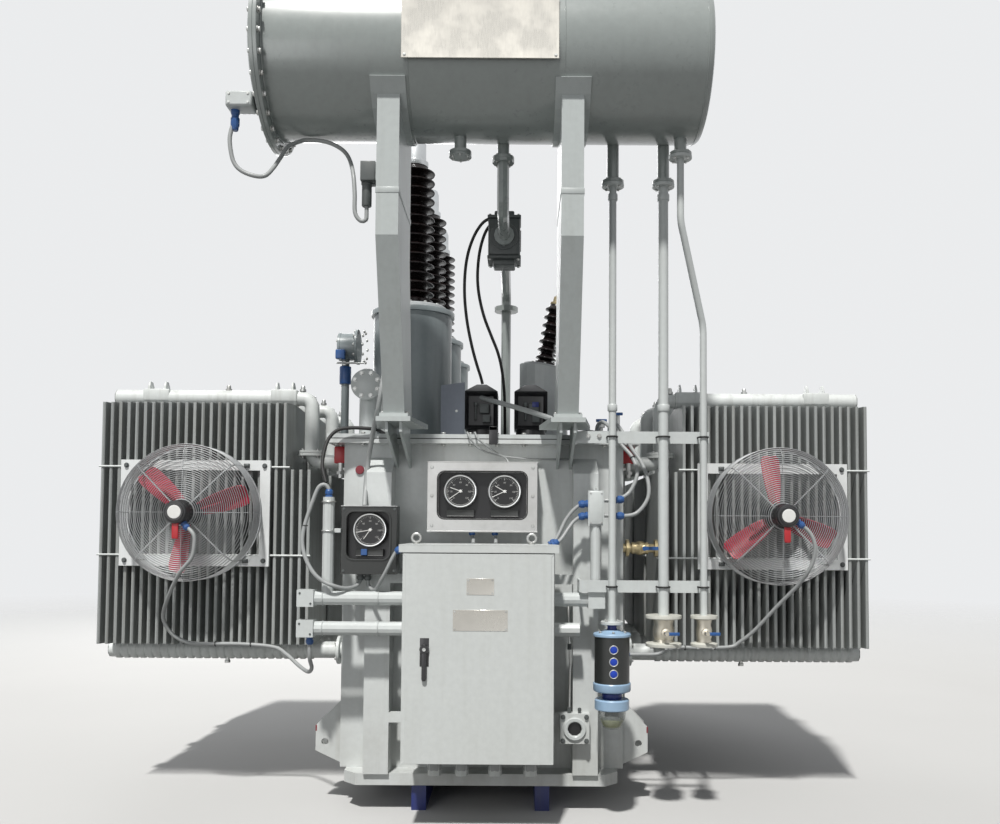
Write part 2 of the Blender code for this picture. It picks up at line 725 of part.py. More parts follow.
def build_relay():
    front = FRONT - RELAY_AHEAD
    relay_y = FRONT + RELAY_BACK
    wide, deep, tall = RELAY_SIZE
    near = relay_y - deep / 2
    far = relay_y + deep / 2
    top = RELAY_LEVEL - GAP
    path = [(RELAY_X, front, top), (RELAY_X, front, RELAY_HEIGHT), (RELAY_X, near - GAP, RELAY_HEIGHT)]
    collar = [(STUB_FLANGE, top - STUB_PLATE), (STUB_FLANGE, top)]
    upper = fuse(
        pipe(path, RELAY_PIPE_RADIUS, RELAY_BEND),
        turned(collar, STUB_SIDES, (RELAY_X, front, 0)),
        rod(STUB_FLANGE, (RELAY_X, near - GAP - STUB_PLATE, RELAY_HEIGHT),
            (RELAY_X, near - GAP, RELAY_HEIGHT)))
    finish_piece(upper, "relay_pipe", "shell paint")

    low = (RELAY_X - wide / 2, near + STUB_PLATE, RELAY_HEIGHT - tall / 2)
    high = (RELAY_X + wide / 2, far - STUB_PLATE, RELAY_HEIGHT + tall / 2)
    body = fuse(
        block(low, high),
        rod(RISER_FLANGE, (RELAY_X, near, RELAY_HEIGHT), (RELAY_X, far, RELAY_HEIGHT), STUB_SIDES))
    finish_piece(body, "gas_relay", "cast")

    riser_y = FRONT + RISER_BEHIND
    start = far + GAP
    path = [(RELAY_X, start + STUB_PLATE / 2, RELAY_HEIGHT), (RELAY_X, riser_y, RISER_HEIGHT),
            (RELAY_X, riser_y, COVER_TOP + GAP)]
    foot = [(RISER_FLANGE, COVER_TOP + GAP), (RISER_FLANGE, COVER_TOP + GAP + STUB_PLATE)]
    disc_z = RISER_HEIGHT - RELAY_BEND - STUB_PLATE
    disc = [(RISER_FLANGE, disc_z - STUB_PLATE), (RISER_FLANGE, disc_z + STUB_PLATE)]
    riser = fuse(
        pipe(path, RELAY_PIPE_RADIUS, RELAY_BEND),
        rod(RISER_FLANGE, (RELAY_X, start, RELAY_HEIGHT), (RELAY_X, start + STUB_PLATE, RELAY_HEIGHT)),
        turned(foot, STUB_SIDES, (RELAY_X, riser_y, 0)),
        turned(disc, STUB_SIDES, (RELAY_X, riser_y, 0)))
    finish_piece(riser, "relay_riser", "shell paint")


# Down pipes on the right, with their bars, valves and the breather
BREATHER_PIPE_RADIUS = 0.021
DRAIN_PIPE_RADIUS = 0.031
FILL_PIPE_RADIUS = 0.020
FILL_BEND_TOP = 2.975
FILL_BEND_LOW = 2.48
VALVE_TOP = 1.024
VALVE_HEIGHT = 0.138
VALVE_FLANGE = 0.088
FILL_VALVE_FLANGE = 0.066
VALVE_BODY_SHARE = 0.6
BAR_HEIGHT = 0.06
BAR_THICKNESS = 0.01
BAR_SETBACK_SHARE = 2
BAR_FOOT_SHARE = 0.6
UPPER_BAR = 1.923
LOWER_BAR = 1.176
BAR_END = 1.145
BREATHER_TOP = 0.99
BREATHER_RADIUS = 0.093
BREATHER_CAP = 0.025
BREATHER_BODY = 0.27
BREATHER_RING = 0.05
BREATHER_WAIST = 0.02
CUP_RADIUS = 0.068
CUP_HEIGHT = 0.10
CUP_FOOT_SHARE = 0.8
RING_SHARE = 0.94
BREATHER_SIDES = 16


def valve_profile(bottom, flange, radius):
    """Two flanges with a waist between them, round the foot of a pipe."""
    plate = STUB_PLATE
    top = bottom + VALVE_HEIGHT
    body = flange * VALVE_BODY_SHARE
    return [(flange, bottom), (flange, bottom + plate), (body, bottom + plate),
            (body, top - plate), (flange, top - plate), (flange, top), (radius, top)]


def build_down_pipes():
    y = FRONT - BREATHER_AHEAD
    top = FLANGE_LEVEL - GAP
    head = [(STUB_FLANGE, top - STUB_PLATE), (STUB_FLANGE, top)]

    low = BREATHER_TOP + GAP
    profile = [(STUB_FLANGE, low), (STUB_FLANGE, low + STUB_PLATE)]
    profile += [(BREATHER_PIPE_RADIUS, low + STUB_PLATE), (BREATHER_PIPE_RADIUS, top - STUB_PLATE)]
    shape = turned(profile + head, STUB_SIDES, (BREATHER_X, y, 0))
    finish_piece(shape, "breather_pipe", "paint")

    bottom = VALVE_TOP - VALVE_HEIGHT
    profile = valve_profile(bottom, VALVE_FLANGE, DRAIN_PIPE_RADIUS)
    profile += [(DRAIN_PIPE_RADIUS, top - STUB_PLATE)] + head
    finish_piece(turned(profile, STUB_SIDES, (DRAIN_X, y, 0)), "drain_pipe", "paint")

    top = FILL_LEVEL - GAP
    head = [(STUB_FLANGE, top - STUB_PLATE), (STUB_FLANGE, top)]
    path = [(FILL_X, SHELL_Y, top), (FILL_X, SHELL_Y, FILL_BEND_TOP),
            (FILL_LOW_X, y, FILL_BEND_LOW), (FILL_LOW_X, y, VALVE_TOP - STUB_PLATE)]
    valve = valve_profile(bottom, FILL_VALVE_FLANGE, FILL_PIPE_RADIUS)[:-1]
    shape = fuse(
        pipe(path, FILL_PIPE_RADIUS, BAR_HEIGHT),
        turned(head, STUB_SIDES, (FILL_X, SHELL_Y, 0)),
        turned(valve, STUB_SIDES, (FILL_LOW_X, y, 0)))
    finish_piece(shape, "fill_pipe", "paint")


def build_bars():
    front = FRONT - BREATHER_AHEAD + DRAIN_PIPE_RADIUS + GAP
    back = front + BAR_THICKNESS
    start = LEG_SPACING / 2 + GUSSET_SPACING / 2 + GUSSET_PLATE / 2 + GAP
    low = (start, front, UPPER_BAR - BAR_HEIGHT / 2)
    high = (BAR_END, back, UPPER_BAR + BAR_HEIGHT / 2)
    foot_low = (start, front, UPPER_BAR - BAR_HEIGHT * BAR_FOOT_SHARE)
    foot_high = (start + BAR_THICKNESS, back + BAR_HEIGHT, UPPER_BAR + BAR_HEIGHT * BAR_FOOT_SHARE)
    finish_piece(fuse(block(low, high), block(foot_low, foot_high)), "pipe_bar_upper", "paint")

    face = FRONT - STIFFENER_PROUD - GAP
    start = STIFFENER_INNER + BAR_THICKNESS * BAR_SETBACK_SHARE
    low = (start, front, LOWER_BAR - BAR_HEIGHT / 2)
    high = (BAR_END, back, LOWER_BAR + BAR_HEIGHT / 2)
    arm_low = (start, front, LOWER_BAR - BAR_HEIGHT / 2)
    arm_high = (start + BAR_THICKNESS, face, LOWER_BAR + BAR_HEIGHT / 2)
    finish_piece(fuse(block(low, high), block(arm_low, arm_high)), "pipe_bar_lower", "paint")


def build_breather():
    y = FRONT - BREATHER_AHEAD
    body_top = BREATHER_TOP - BREATHER_CAP * 2
    body_low = body_top - BREATHER_BODY
    ring = body_low - BREATHER_RING
    second = ring - BREATHER_WAIST
    cup = second - BREATHER_RING
    profile = [
        (CUP_RADIUS * CUP_FOOT_SHARE, cup - CUP_HEIGHT),
        (CUP_RADIUS, cup),
        (BREATHER_RADIUS * RING_SHARE, cup),
        (BREATHER_RADIUS * RING_SHARE, second),
        (CUP_RADIUS, second),
        (CUP_RADIUS, ring),
        (BREATHER_RADIUS, ring),
        (BREATHER_RADIUS, body_top + BREATHER_CAP),
        (STUB_RADIUS, body_top + BREATHER_CAP),
        (STUB_RADIUS, BREATHER_TOP - STUB_PLATE),
        (STUB_FLANGE, BREATHER_TOP - STUB_PLATE),
        (STUB_FLANGE, BREATHER_TOP),
    ]
    finish_piece(turned(profile, BREATHER_SIDES, (BREATHER_X, y, 0)), "breather", "blue")


# Radiators: pressed fins between two headers, with a bent pipe up and over to the tank
FIN_TOP = 2.14
FIN_BOTTOM = 0.825
SHORT_FIN_TOP = 1.775
HEADER_END = 0.03
GOOSE_X = 0.995
GOOSE_RADIUS = 0.038
GOOSE_FLANGE = 0.077
GOOSE_PLATE = 0.03
GOOSE_LEVEL = 1.865
GOOSE_BEND_SHARE = 1.4
GOOSE_SIDES = 8
BRANCH_LEVEL = 1.835


def header_ring(bm, x, y, z, turn):
    """Eight corners of a header. The first two bound the flat that the fins grow from."""
    around = HEADER_RADIUS / math.cos(math.pi / 8)
    ring = []
    for corner in range(8):
        angle = math.pi * (corner * 2 + 1) / 8 + turn
        ring.append(bm.verts.new((x, y + around * math.sin(angle), z + around * math.cos(angle))))
    return [ring[-1]] + ring[:-1]


def header(bm, y, z, start, end, stations, turn):
    """A header as one skin whose fin-side flat is left open at every fin."""
    first = header_ring(bm, start, y, z, turn)
    last = header_ring(bm, end, y, z, turn)
    rows = []
    for x in stations:
        share = (x - start) / (end - start)
        rows.append([bm.verts.new(first[side].co.lerp(last[side].co, share)) for side in (0, 1)])
    bm.faces.new(first)
    bm.faces.new(last)
    for corner in range(2, 7):
        bm.faces.new([first[corner], first[corner + 1], last[corner + 1], last[corner]])
    bm.faces.new([first[7], first[0]] + [row[0] for row in rows] + [last[0], last[7]])
    bm.faces.new([first[2], first[1]] + [row[1] for row in rows] + [last[1], last[2]])
    edges = [first[:2]] + rows + [last[:2]]
    for near, far in list(zip(edges, edges[1:]))[::2]:
        bm.faces.new([near[0], near[1], far[1], far[0]])
    return rows


def fin(bm, upper, lower, y, top):
    """One fin between two faces. It grows from the lower header, and meets the upper if given."""
    sides = []
    for number in (0, 1):
        x = lower[number][0].co.x
        half = FIN_DEPTH / 2
        places = [(y - half, top), (y - half, FIN_BOTTOM), (y + half, FIN_BOTTOM), (y + half, top)]
        front_top, front_low, back_low, back_top = [
            bm.verts.new((x, place[0], place[1])) for place in places]
        foot = sorted(lower[number], key=lambda vert: vert.co.y)
        loop = [front_top, front_low, foot[0], foot[1], back_low, back_top]
        if upper:
            neck = sorted(upper[number], key=lambda vert: vert.co.y)
            loop += [neck[1], neck[0]]
        bm.faces.new(loop)
        sides.append(loop)
    near, far = sides
    for number in range(len(near)):
        following = (number + 1) % len(near)
        if number == 2 or (upper and number == 6):
            continue
        bm.faces.new([near[number], near[following], far[following], far[number]])


def radiator_bank(side, row):
    y = FRONT + RADIATOR_FIRST + row * RADIATOR_PITCH
    bm = bmesh.new()
    places = [FIN_START + number * FIN_PITCH for number in range(FIN_COUNT)]
    edges = [place + shift for place in places for shift in (-FIN_THICKNESS / 2, FIN_THICKNESS / 2)]
    outer = places[-1] + HEADER_END
    full_start = places[SHORT_FINS] - HEADER_END / 2
    lower = header(bm, y, HEADER_BOTTOM, SIDE + GAP, outer, edges, 0)
    upper = header(bm, y, HEADER_TOP, full_start, outer, edges[SHORT_FINS * 2:], math.pi)
    for number in range(FIN_COUNT):
        pair = lower[number * 2:number * 2 + 2]
        if number < SHORT_FINS:
            fin(bm, None, pair, y, SHORT_FIN_TOP)
            continue
        high = number - SHORT_FINS
        fin(bm, upper[high * 2:high * 2 + 2], pair, y, FIN_TOP)
    bmesh.ops.scale(bm, vec=(side, 1, 1), verts=bm.verts)
    bank = link_mesh(bm)
    inside = side * (full_start + HEADER_END)
    turn = side * GOOSE_X
    path = [(inside, y, HEADER_TOP), (turn, y, HEADER_TOP), (turn, y, BRANCH_LEVEL),
            (side * (SIDE + GAP), y, BRANCH_LEVEL)]
    neck = pipe(path, GOOSE_RADIUS, GOOSE_RADIUS * GOOSE_BEND_SHARE, steps=2)
    plate = [(GOOSE_FLANGE, GOOSE_LEVEL), (GOOSE_FLANGE, GOOSE_LEVEL + GOOSE_PLATE)]
    return fuse(bank, neck, turned(plate, GOOSE_SIDES, (turn, y, 0)))


def build_radiators():
    for side, name in ((-1, "left"), (1, "right")):
        for row, place in enumerate(("front", "middle", "rear")):
            bank = radiator_bank(side, row)
            finish_piece(bank, "radiator_" + name + "_" + place, "fin paint")


# Fans on the front radiators
FAN_X = 1.565
FAN_HEIGHT = 1.535
FRAME_HALF_WIDTH = 0.405
FRAME_HALF_HEIGHT = 0.287
FRAME_BAR = 0.055
FRAME_PLATE = 0.014
FRAME_STAND = 0.010
STAND_OVERLAP = 0.002
GUARD_RADIUS = 0.36
GUARD_DEPTH = 0.21
GUARD_WIRE = 0.011
GUARD_SIDES = 16
GUARD_SPOKES = 6
GUARD_RINGS = (0.22,)
GUARD_NOSE_RADIUS = 0.34
SPOKE_SHARE = 0.6
SPOKE_BEND_SHARE = 3
MOTOR_RADIUS = 0.062
MOTOR_AHEAD = 0.06
MOTOR_BEHIND = 0.09
MOTOR_NOSE_SHARE = 0.7
BLADE_COUNT = 3
BLADE_RADIUS = 0.325
BLADE_ROOT_CHORD = 0.10
BLADE_TIP_CHORD = 0.135
BLADE_ROOT_PITCH = math.radians(42)
BLADE_TIP_PITCH = math.radians(24)
BLADE_THICKNESS = 0.008
BLADE_STATIONS = 4
BLADE_ROOT_SHARE = 0.8
BLADE_SECTION_SHARES = ((-0.5, 0), (0, 0.5), (0.5, 0), (0, -0.5))
BLADE_TURN_LEFT = math.radians(25)
BLADE_TURN_RIGHT = math.radians(-5)
HUB_RADIUS = 0.07
HUB_LENGTH = 0.055
BOSS_RADIUS = 0.02


def ring_bar(radius, low, high, x, z):
    """A flat ring of square section round an axis that runs along Y."""
    half = GUARD_WIRE / 2
    profile = [(radius - half, low), (radius + half, low), (radius + half, high), (radius - half, high)]
    return turned(profile, GUARD_SIDES, (x, 0, z), (0, 1, 0), closed=True)


def guard_spoke(nose, rear, angle):
    """A flat wire from the motor out over the nose ring and back to the rear ring."""
    half = GUARD_WIRE / 2
    thin = half * SPOKE_SHARE
    bend = nose + GUARD_WIRE * SPOKE_BEND_SHARE
    inner = MOTOR_RADIUS - GUARD_WIRE
    outline = [
        (nose + thin, inner),
        (nose + thin, GUARD_NOSE_RADIUS),
        (bend, GUARD_RADIUS + thin),
        (rear - thin, GUARD_RADIUS + thin),
        (rear - thin, GUARD_RADIUS - thin),
        (bend + thin, GUARD_RADIUS - thin),
        (nose + GUARD_WIRE - thin, GUARD_NOSE_RADIUS - half),
        (nose + GUARD_WIRE - thin, inner),
    ]
    spoke = extrusion(outline, "X", -thin, thin)
    spoke.data.transform(Matrix.Rotation(angle, 4, "Y"))
    return spoke


def build_fan(side, name, turn):
    x = side * FAN_X
    z = FAN_HEIGHT
    fin_face = FRONT + RADIATOR_FIRST - FIN_DEPTH / 2
    seat = fin_face - GAP
    back = seat - FRAME_STAND
    front = back - FRAME_PLATE
    wide = FRAME_HALF_WIDTH
    tall = FRAME_HALF_HEIGHT
    frame = block((x - wide, front, z - tall), (x + wide, back, z + tall))
    hole_low = (x - wide + FRAME_BAR, front - OVERRUN, z - tall + FRAME_BAR)
    hole_high = (x + wide - FRAME_BAR, back + OVERRUN, z + tall - FRAME_BAR)
    stands = []
    for across in (-1, 1):
        for up in (-1, 1):
            outer = (x + across * (wide - GAP), z + up * (tall - GAP))
            inner = (x + across * (wide - FRAME_BAR), z + up * (tall - FRAME_BAR))
            low = (min(outer[0], inner[0]), back - STAND_OVERLAP, min(outer[1], inner[1]))
            high = (max(outer[0], inner[0]), seat, max(outer[1], inner[1]))
            stands.append(block(low, high))
    frame = cut(frame, block(hole_low, hole_high))
    finish_piece(fuse(frame, *stands), "fan_frame_" + name, "paint")

    rear = front - GAP
    nose = rear - GUARD_DEPTH
    waist = nose + GUARD_DEPTH / 2
    cage = ring_bar(GUARD_RADIUS, rear - GUARD_WIRE, rear, x, z)
    parts = [ring_bar(GUARD_RADIUS, waist, waist + GUARD_WIRE, x, z)]
    parts += [ring_bar(radius, nose, nose + GUARD_WIRE, x, z) for radius in GUARD_RINGS]
    for number in range(GUARD_SPOKES):
        spoke = guard_spoke(nose, rear, 2 * math.pi * (number + HALF_PITCH_SHARE) / GUARD_SPOKES)
        spoke.data.transform(Matrix.Translation((x, 0, z)))
        parts.append(spoke)
    start = nose - MOTOR_AHEAD
    end = nose + MOTOR_BEHIND
    profile = [(MOTOR_RADIUS * MOTOR_NOSE_SHARE, start), (MOTOR_RADIUS, start + FRAME_PLATE)]
    profile.append((MOTOR_RADIUS, end))
    parts.append(turned(profile, GUARD_SIDES, (x, 0, z), (0, 1, 0)))
    finish_piece(fuse(cage, *parts), "fan_cage_" + name, "steel")
    build_rotor(x, end + PIN_GAP, z, name, turn)


def build_rotor(x, start, z, name, turn):
    """Three twisted blades on a hub whose short boss meets the motor's shaft face."""
    shoulder = start + RUNNING_GAP
    profile = [(BOSS_RADIUS, 0), (BOSS_RADIUS, RUNNING_GAP), (HUB_RADIUS, RUNNING_GAP),
               (HUB_RADIUS, RUNNING_GAP + HUB_LENGTH)]
    hub = turned(profile, GUARD_SIDES, (0, 0, 0), (0, 1, 0))
    middle = shoulder - start + HUB_LENGTH / 2
    root = HUB_RADIUS * BLADE_ROOT_SHARE
    blades = []
    for number in range(BLADE_COUNT):
        bm = bmesh.new()
        sections = []
        for station in range(BLADE_STATIONS):
            share = station / (BLADE_STATIONS - 1)
            radius = root + (BLADE_RADIUS - root) * share
            chord = BLADE_ROOT_CHORD + (BLADE_TIP_CHORD - BLADE_ROOT_CHORD) * share
            pitch = BLADE_ROOT_PITCH + (BLADE_TIP_PITCH - BLADE_ROOT_PITCH) * share
            section = []
            for across, through in BLADE_SECTION_SHARES:
                wide = across * chord
                deep = through * BLADE_THICKNESS
                along = wide * math.cos(pitch) - deep * math.sin(pitch)
                down = wide * math.sin(pitch) + deep * math.cos(pitch)
                section.append(bm.verts.new((along, middle + down, radius)))
            sections.append(section)
        for lower, upper in zip(sections, sections[1:]):
            for corner in range(4):
                following = (corner + 1) % 4
                bm.faces.new([lower[corner], lower[following], upper[following], upper[corner]])
        bm.faces.new(sections[0])
        bm.faces.new(sections[-1])
        angle = turn + 2 * math.pi * number / BLADE_COUNT
        bmesh.ops.rotate(bm, matrix=Matrix.Rotation(angle, 3, "Y"), cent=(0, 0, 0), verts=bm.verts)
        blades.append(link_mesh(bm))
    rotor = finish_piece(fuse(hub, *blades), "fan_rotor_" + name, "red")
    rotor.location = (x, start, z)


# Control cabinet, its door and its rails
ROOF_LIP = 0.019
ROOF_HEIGHT = 0.035
HINGE_RADIUS = 0.008
HINGE_LENGTH = 0.05
HINGE_INSET = 0.012
HINGE_REACH = 0.018
HINGE_SHARES = (0.15, 0.85)
GLAND_RADIUS = 0.034
GLAND_LENGTH = 0.10
GLAND_PLACES = (-0.22, -0.085, 0.08, 0.255)
HANDLE_X = -0.257
HANDLE_HEIGHT = 0.882
HANDLE_LENGTH = 0.15
HANDLE_BOSS = 0.024
HANDLE_WIDTH = 0.022
HANDLE_THICKNESS = 0.014


def cabinet_values():
    half = CABINET_WIDTH / 2
    front = FRONT - CABINET_FRONT
    top = CABINET_BOTTOM + CABINET_HEIGHT
    hinge_x = half - HINGE_INSET
    hinge_y = front - RUNNING_GAP - DOOR_THICKNESS / 2
    return half, front, top, hinge_x, hinge_y


def build_cabinet():
    half, front, top, hinge_x, hinge_y = cabinet_values()
    back = FRONT - STIFFENER_PROUD - GAP
    body = block((-half, front, CABINET_BOTTOM), (half, back, top))
    roof_low = (-half - ROOF_LIP, front - RUNNING_GAP - DOOR_THICKNESS - OVERRUN, top - GAP)
    roof_high = (half + ROOF_LIP, back, top + ROOF_HEIGHT)
    body = fuse(body, block(roof_low, roof_high))
    inside_low = (-half + SHEET, front - OVERRUN, CABINET_BOTTOM + SHEET)
    inside_high = (half - SHEET, back - SHEET, top - SHEET)
    body = cut(body, block(inside_low, inside_high))
    middle_y = (front + back) / 2
    parts = []
    for place in GLAND_PLACES:
        start = (place, middle_y, CABINET_BOTTOM - GLAND_LENGTH)
        parts.append(rod(GLAND_RADIUS, start, (place, middle_y, CABINET_BOTTOM + SHEET / 2), 8))
    for share in HINGE_SHARES:
        level = CABINET_BOTTOM + CABINET_HEIGHT * share
        parts.append(rod(HINGE_RADIUS, (hinge_x, hinge_y, level - HINGE_LENGTH), (hinge_x, hinge_y, level), 10))
        low = (hinge_x - HINGE_RADIUS / 2, hinge_y, level - HINGE_LENGTH)
        high = (hinge_x + HINGE_RADIUS / 2, front + SHEET / 2, level - HINGE_RADIUS)
        parts.append(block(low, high))
    tube_y = FRONT - TUBE_AHEAD
    start = (half - SHEET / 2, tube_y, LOWER_TUBE)
    parts.append(rod(TUBE_RADIUS, start, (RIGHT_TUBE_END, tube_y, LOWER_TUBE), STUB_SIDES))
    finish_piece(fuse(body, *parts), "control_cabinet", "paint")


def build_door():
    half, front, top, hinge_x, hinge_y = cabinet_values()
    face = front - RUNNING_GAP
    low = (-half, face - DOOR_THICKNESS, CABINET_BOTTOM)
    high = (hinge_x - HINGE_REACH, face, top - RUNNING_GAP)
    parts = []
    for share in HINGE_SHARES:
        level = CABINET_BOTTOM + CABINET_HEIGHT * share + PIN_GAP
        end = level + HINGE_LENGTH
        parts.append(rod(HINGE_RADIUS, (hinge_x, hinge_y, level), (hinge_x, hinge_y, end), 10))
        arm_low = (hinge_x - HINGE_REACH - HINGE_RADIUS, hinge_y - HINGE_RADIUS / 2, level + PIN_GAP)
        arm_high = (hinge_x, hinge_y + HINGE_RADIUS / 2, end - PIN_GAP)
        parts.append(block(arm_low, arm_high))
    door = finish_piece(fuse(block(low, high), *parts), "cabinet_door", "paint")
    place = Vector((hinge_x, hinge_y, CABINET_BOTTOM))
    door.data.transform(Matrix.Translation(-place))
    door.location = place

    door_face = face - DOOR_THICKNESS
    seat = door_face - PIN_GAP
    lever_back = seat - RUNNING_GAP
    boss = rod(HANDLE_BOSS, (0, 0, 0), (0, -RUNNING_GAP - HANDLE_THICKNESS, 0), 12)
    low = (-HANDLE_WIDTH / 2, lever_back - seat - HANDLE_THICKNESS, -HANDLE_LENGTH)
    high = (HANDLE_WIDTH / 2, lever_back - seat, 0)
    handle = finish_piece(fuse(boss, block(low, high)), "door_handle", "black")
    handle.location = (HANDLE_X, seat, HANDLE_HEIGHT)


# Gauge boxes
TWIN_HALF = 0.285
TWIN_LOW = 1.449
TWIN_HIGH = 1.803
TWIN_DEPTH = 0.17
TWIN_WINDOW = 0.231
TWIN_WINDOW_LOW = 1.511
TWIN_WINDOW_HIGH = 1.755
WINDOW_CORNER = 0.035
WINDOW_DEPTH = 0.05
DIAL_RADIUS = 0.085
DIAL_STAND = 0.025
TWIN_DIAL_X = 0.115
TWIN_DIAL_HEIGHT = 1.654
SINGLE_LEFT = -0.71
SINGLE_RIGHT = -0.43
SINGLE_LOW = 1.225
SINGLE_HIGH = 1.571
SINGLE_DEPTH = 0.12
SINGLE_WINDOW = (-0.684, -0.466, 1.302, 1.540)
SINGLE_DIAL = (-0.567, 1.449)


def rounded_window(left, right, low, high, corner):
    points = []
    middles = ((right - corner, high - corner), (left + corner, high - corner),
               (left + corner, low + corner), (right - corner, low + corner))
    for quarter, middle in enumerate(middles):
        for step in range(4):
            angle = math.pi / 2 * (quarter + step / 3)
            points.append((middle[0] + corner * math.cos(angle), middle[1] + corner * math.sin(angle)))
    return points


def dial(x, z, back):
    return rod(DIAL_RADIUS, (x, back, z), (x, back - DIAL_STAND - OVERRUN, z), 20)


def build_gauges():
    back = FRONT - GAP
    front = FRONT - TWIN_DEPTH
    box = block((-TWIN_HALF, front, TWIN_LOW), (TWIN_HALF, back, TWIN_HIGH))
    outline = rounded_window(-TWIN_WINDOW, TWIN_WINDOW, TWIN_WINDOW_LOW, TWIN_WINDOW_HIGH, WINDOW_CORNER)
    box = cut(box, extrusion(outline, "Y", front - OVERRUN, front + WINDOW_DEPTH))
    floor = front + WINDOW_DEPTH + OVERRUN
    dials = [dial(side * TWIN_DIAL_X, TWIN_DIAL_HEIGHT, floor) for side in (-1, 1)]
    finish_piece(fuse(box, *dials), "twin_gauge_box", "steel")

    back = FRONT - STIFFENER_PROUD - GAP
    front = back - SINGLE_DEPTH
    box = block((SINGLE_LEFT, front, SINGLE_LOW), (SINGLE_RIGHT, back, SINGLE_HIGH))
    left, right, low, high = SINGLE_WINDOW
    outline = rounded_window(left, right, low, high, WINDOW_CORNER)
    box = cut(box, extrusion(outline, "Y", front - OVERRUN, front + WINDOW_DEPTH))
    floor = front + WINDOW_DEPTH + OVERRUN
    finish_piece(fuse(box, dial(SINGLE_DIAL[0], SINGLE_DIAL[1], floor)), "single_gauge_box", "cast")


# Cable tubes beside the cabinet
TUBE_AHEAD = 0.28
UPPER_TUBE = 1.105
LOWER_TUBE = 0.953
TUBE_RADIUS = 0.035
LEFT_TUBE_END = 0.92
TUBE_SQUARE = 0.042
LEFT_STAND_X = 0.774
LEFT_STAND_RADIUS = 0.03
LEFT_STAND_TOP = 1.615
RIGHT_TUBE_END = 0.50
RIGHT_FITTING_END = 0.625
RIGHT_STAND_X = 0.58
RIGHT_STAND_RADIUS = 0.026
RIGHT_STAND_TOP = 1.479
JUNCTION = (0.08, 0.06, 0.177)


def build_tubes():
    y = FRONT - TUBE_AHEAD
    start = CABINET_WIDTH / 2 + GAP
    square = TUBE_SQUARE
    for level, name in ((UPPER_TUBE, "upper"), (LOWER_TUBE, "lower")):
        tube = rod(TUBE_RADIUS, (-start, y, level), (-LEFT_TUBE_END + square, y, level))
        low = (-LEFT_TUBE_END, y - square, level - square)
        high = (-LEFT_TUBE_END + square * 2, y + square, level + square)
        parts = [block(low, high)]
        if name == "upper":
            stand = rod(LEFT_STAND_RADIUS, (-LEFT_STAND_X, y, level), (-LEFT_STAND_X, y, LEFT_STAND_TOP))
            parts.append(stand)
        finish_piece(fuse(tube, *parts), "cable_tube_left_" + name, "paint")

    tube = rod(TUBE_RADIUS, (start, y, UPPER_TUBE), (RIGHT_FITTING_END - square, y, UPPER_TUBE))
    low = (RIGHT_FITTING_END - square * 2, y - square, UPPER_TUBE - square)
    high = (RIGHT_FITTING_END, y + square, UPPER_TUBE + square)
    stand = rod(RIGHT_STAND_RADIUS, (RIGHT_STAND_X, y, UPPER_TUBE), (RIGHT_STAND_X, y, RIGHT_STAND_TOP + square))
    wide, deep, tall = JUNCTION
    box_low = (RIGHT_STAND_X - wide / 2, y - deep / 2, RIGHT_STAND_TOP)
    box_high = (RIGHT_STAND_X + wide / 2, y + deep / 2, RIGHT_STAND_TOP + tall)
    parts = [block(low, high), stand, block(box_low, box_high)]
    finish_piece(fuse(tube, *parts), "cable_tube_right_upper", "paint")


# Fittings on the cover and the walls
RELIEF_PLACES = (-0.03, 0.255)
RELIEF_BEHIND = 0.40
RELIEF_RADIUS = 0.085
RELIEF_BASE = 0.07
RELIEF_WIDTH = 0.19
RELIEF_DEPTH = 0.22
RELIEF_EAVES = 0.24
RELIEF_RIDGE = 0.32
POST_X = -0.657
POST_BEHIND = 0.20
POST_HEIGHT = 2.252
POST_RADIUS = 0.05
POST_DISC = 0.085
POST_NECK = 0.06
POST_LENGTH = 0.14
NOZZLE_HEIGHT = 2.59
NOZZLE_RADIUS = 0.085
NOZZLE_FLANGE = 0.11
NOZZLE_JOINT = 0.80
NOZZLE_END = 0.94
NOZZLE_PIPE_X = 0.90
NOZZLE_PIPE_RADIUS = 0.025
NOZZLE_PIPE_LOW = 1.80
SIDE_VALVE_HEIGHT = 1.361
SIDE_VALVE_AHEAD = -0.02
SIDE_VALVE_RADIUS = 0.024
SIDE_VALVE_FLANGE = 0.046
SIDE_VALVE_END = 0.935
LEVER_X = 0.86
LEVER_LENGTH = 0.12
LEVER_WIDTH = 0.018
LEVER_STEM = 0.058
LEVER_BOSS_SHARE = 0.7


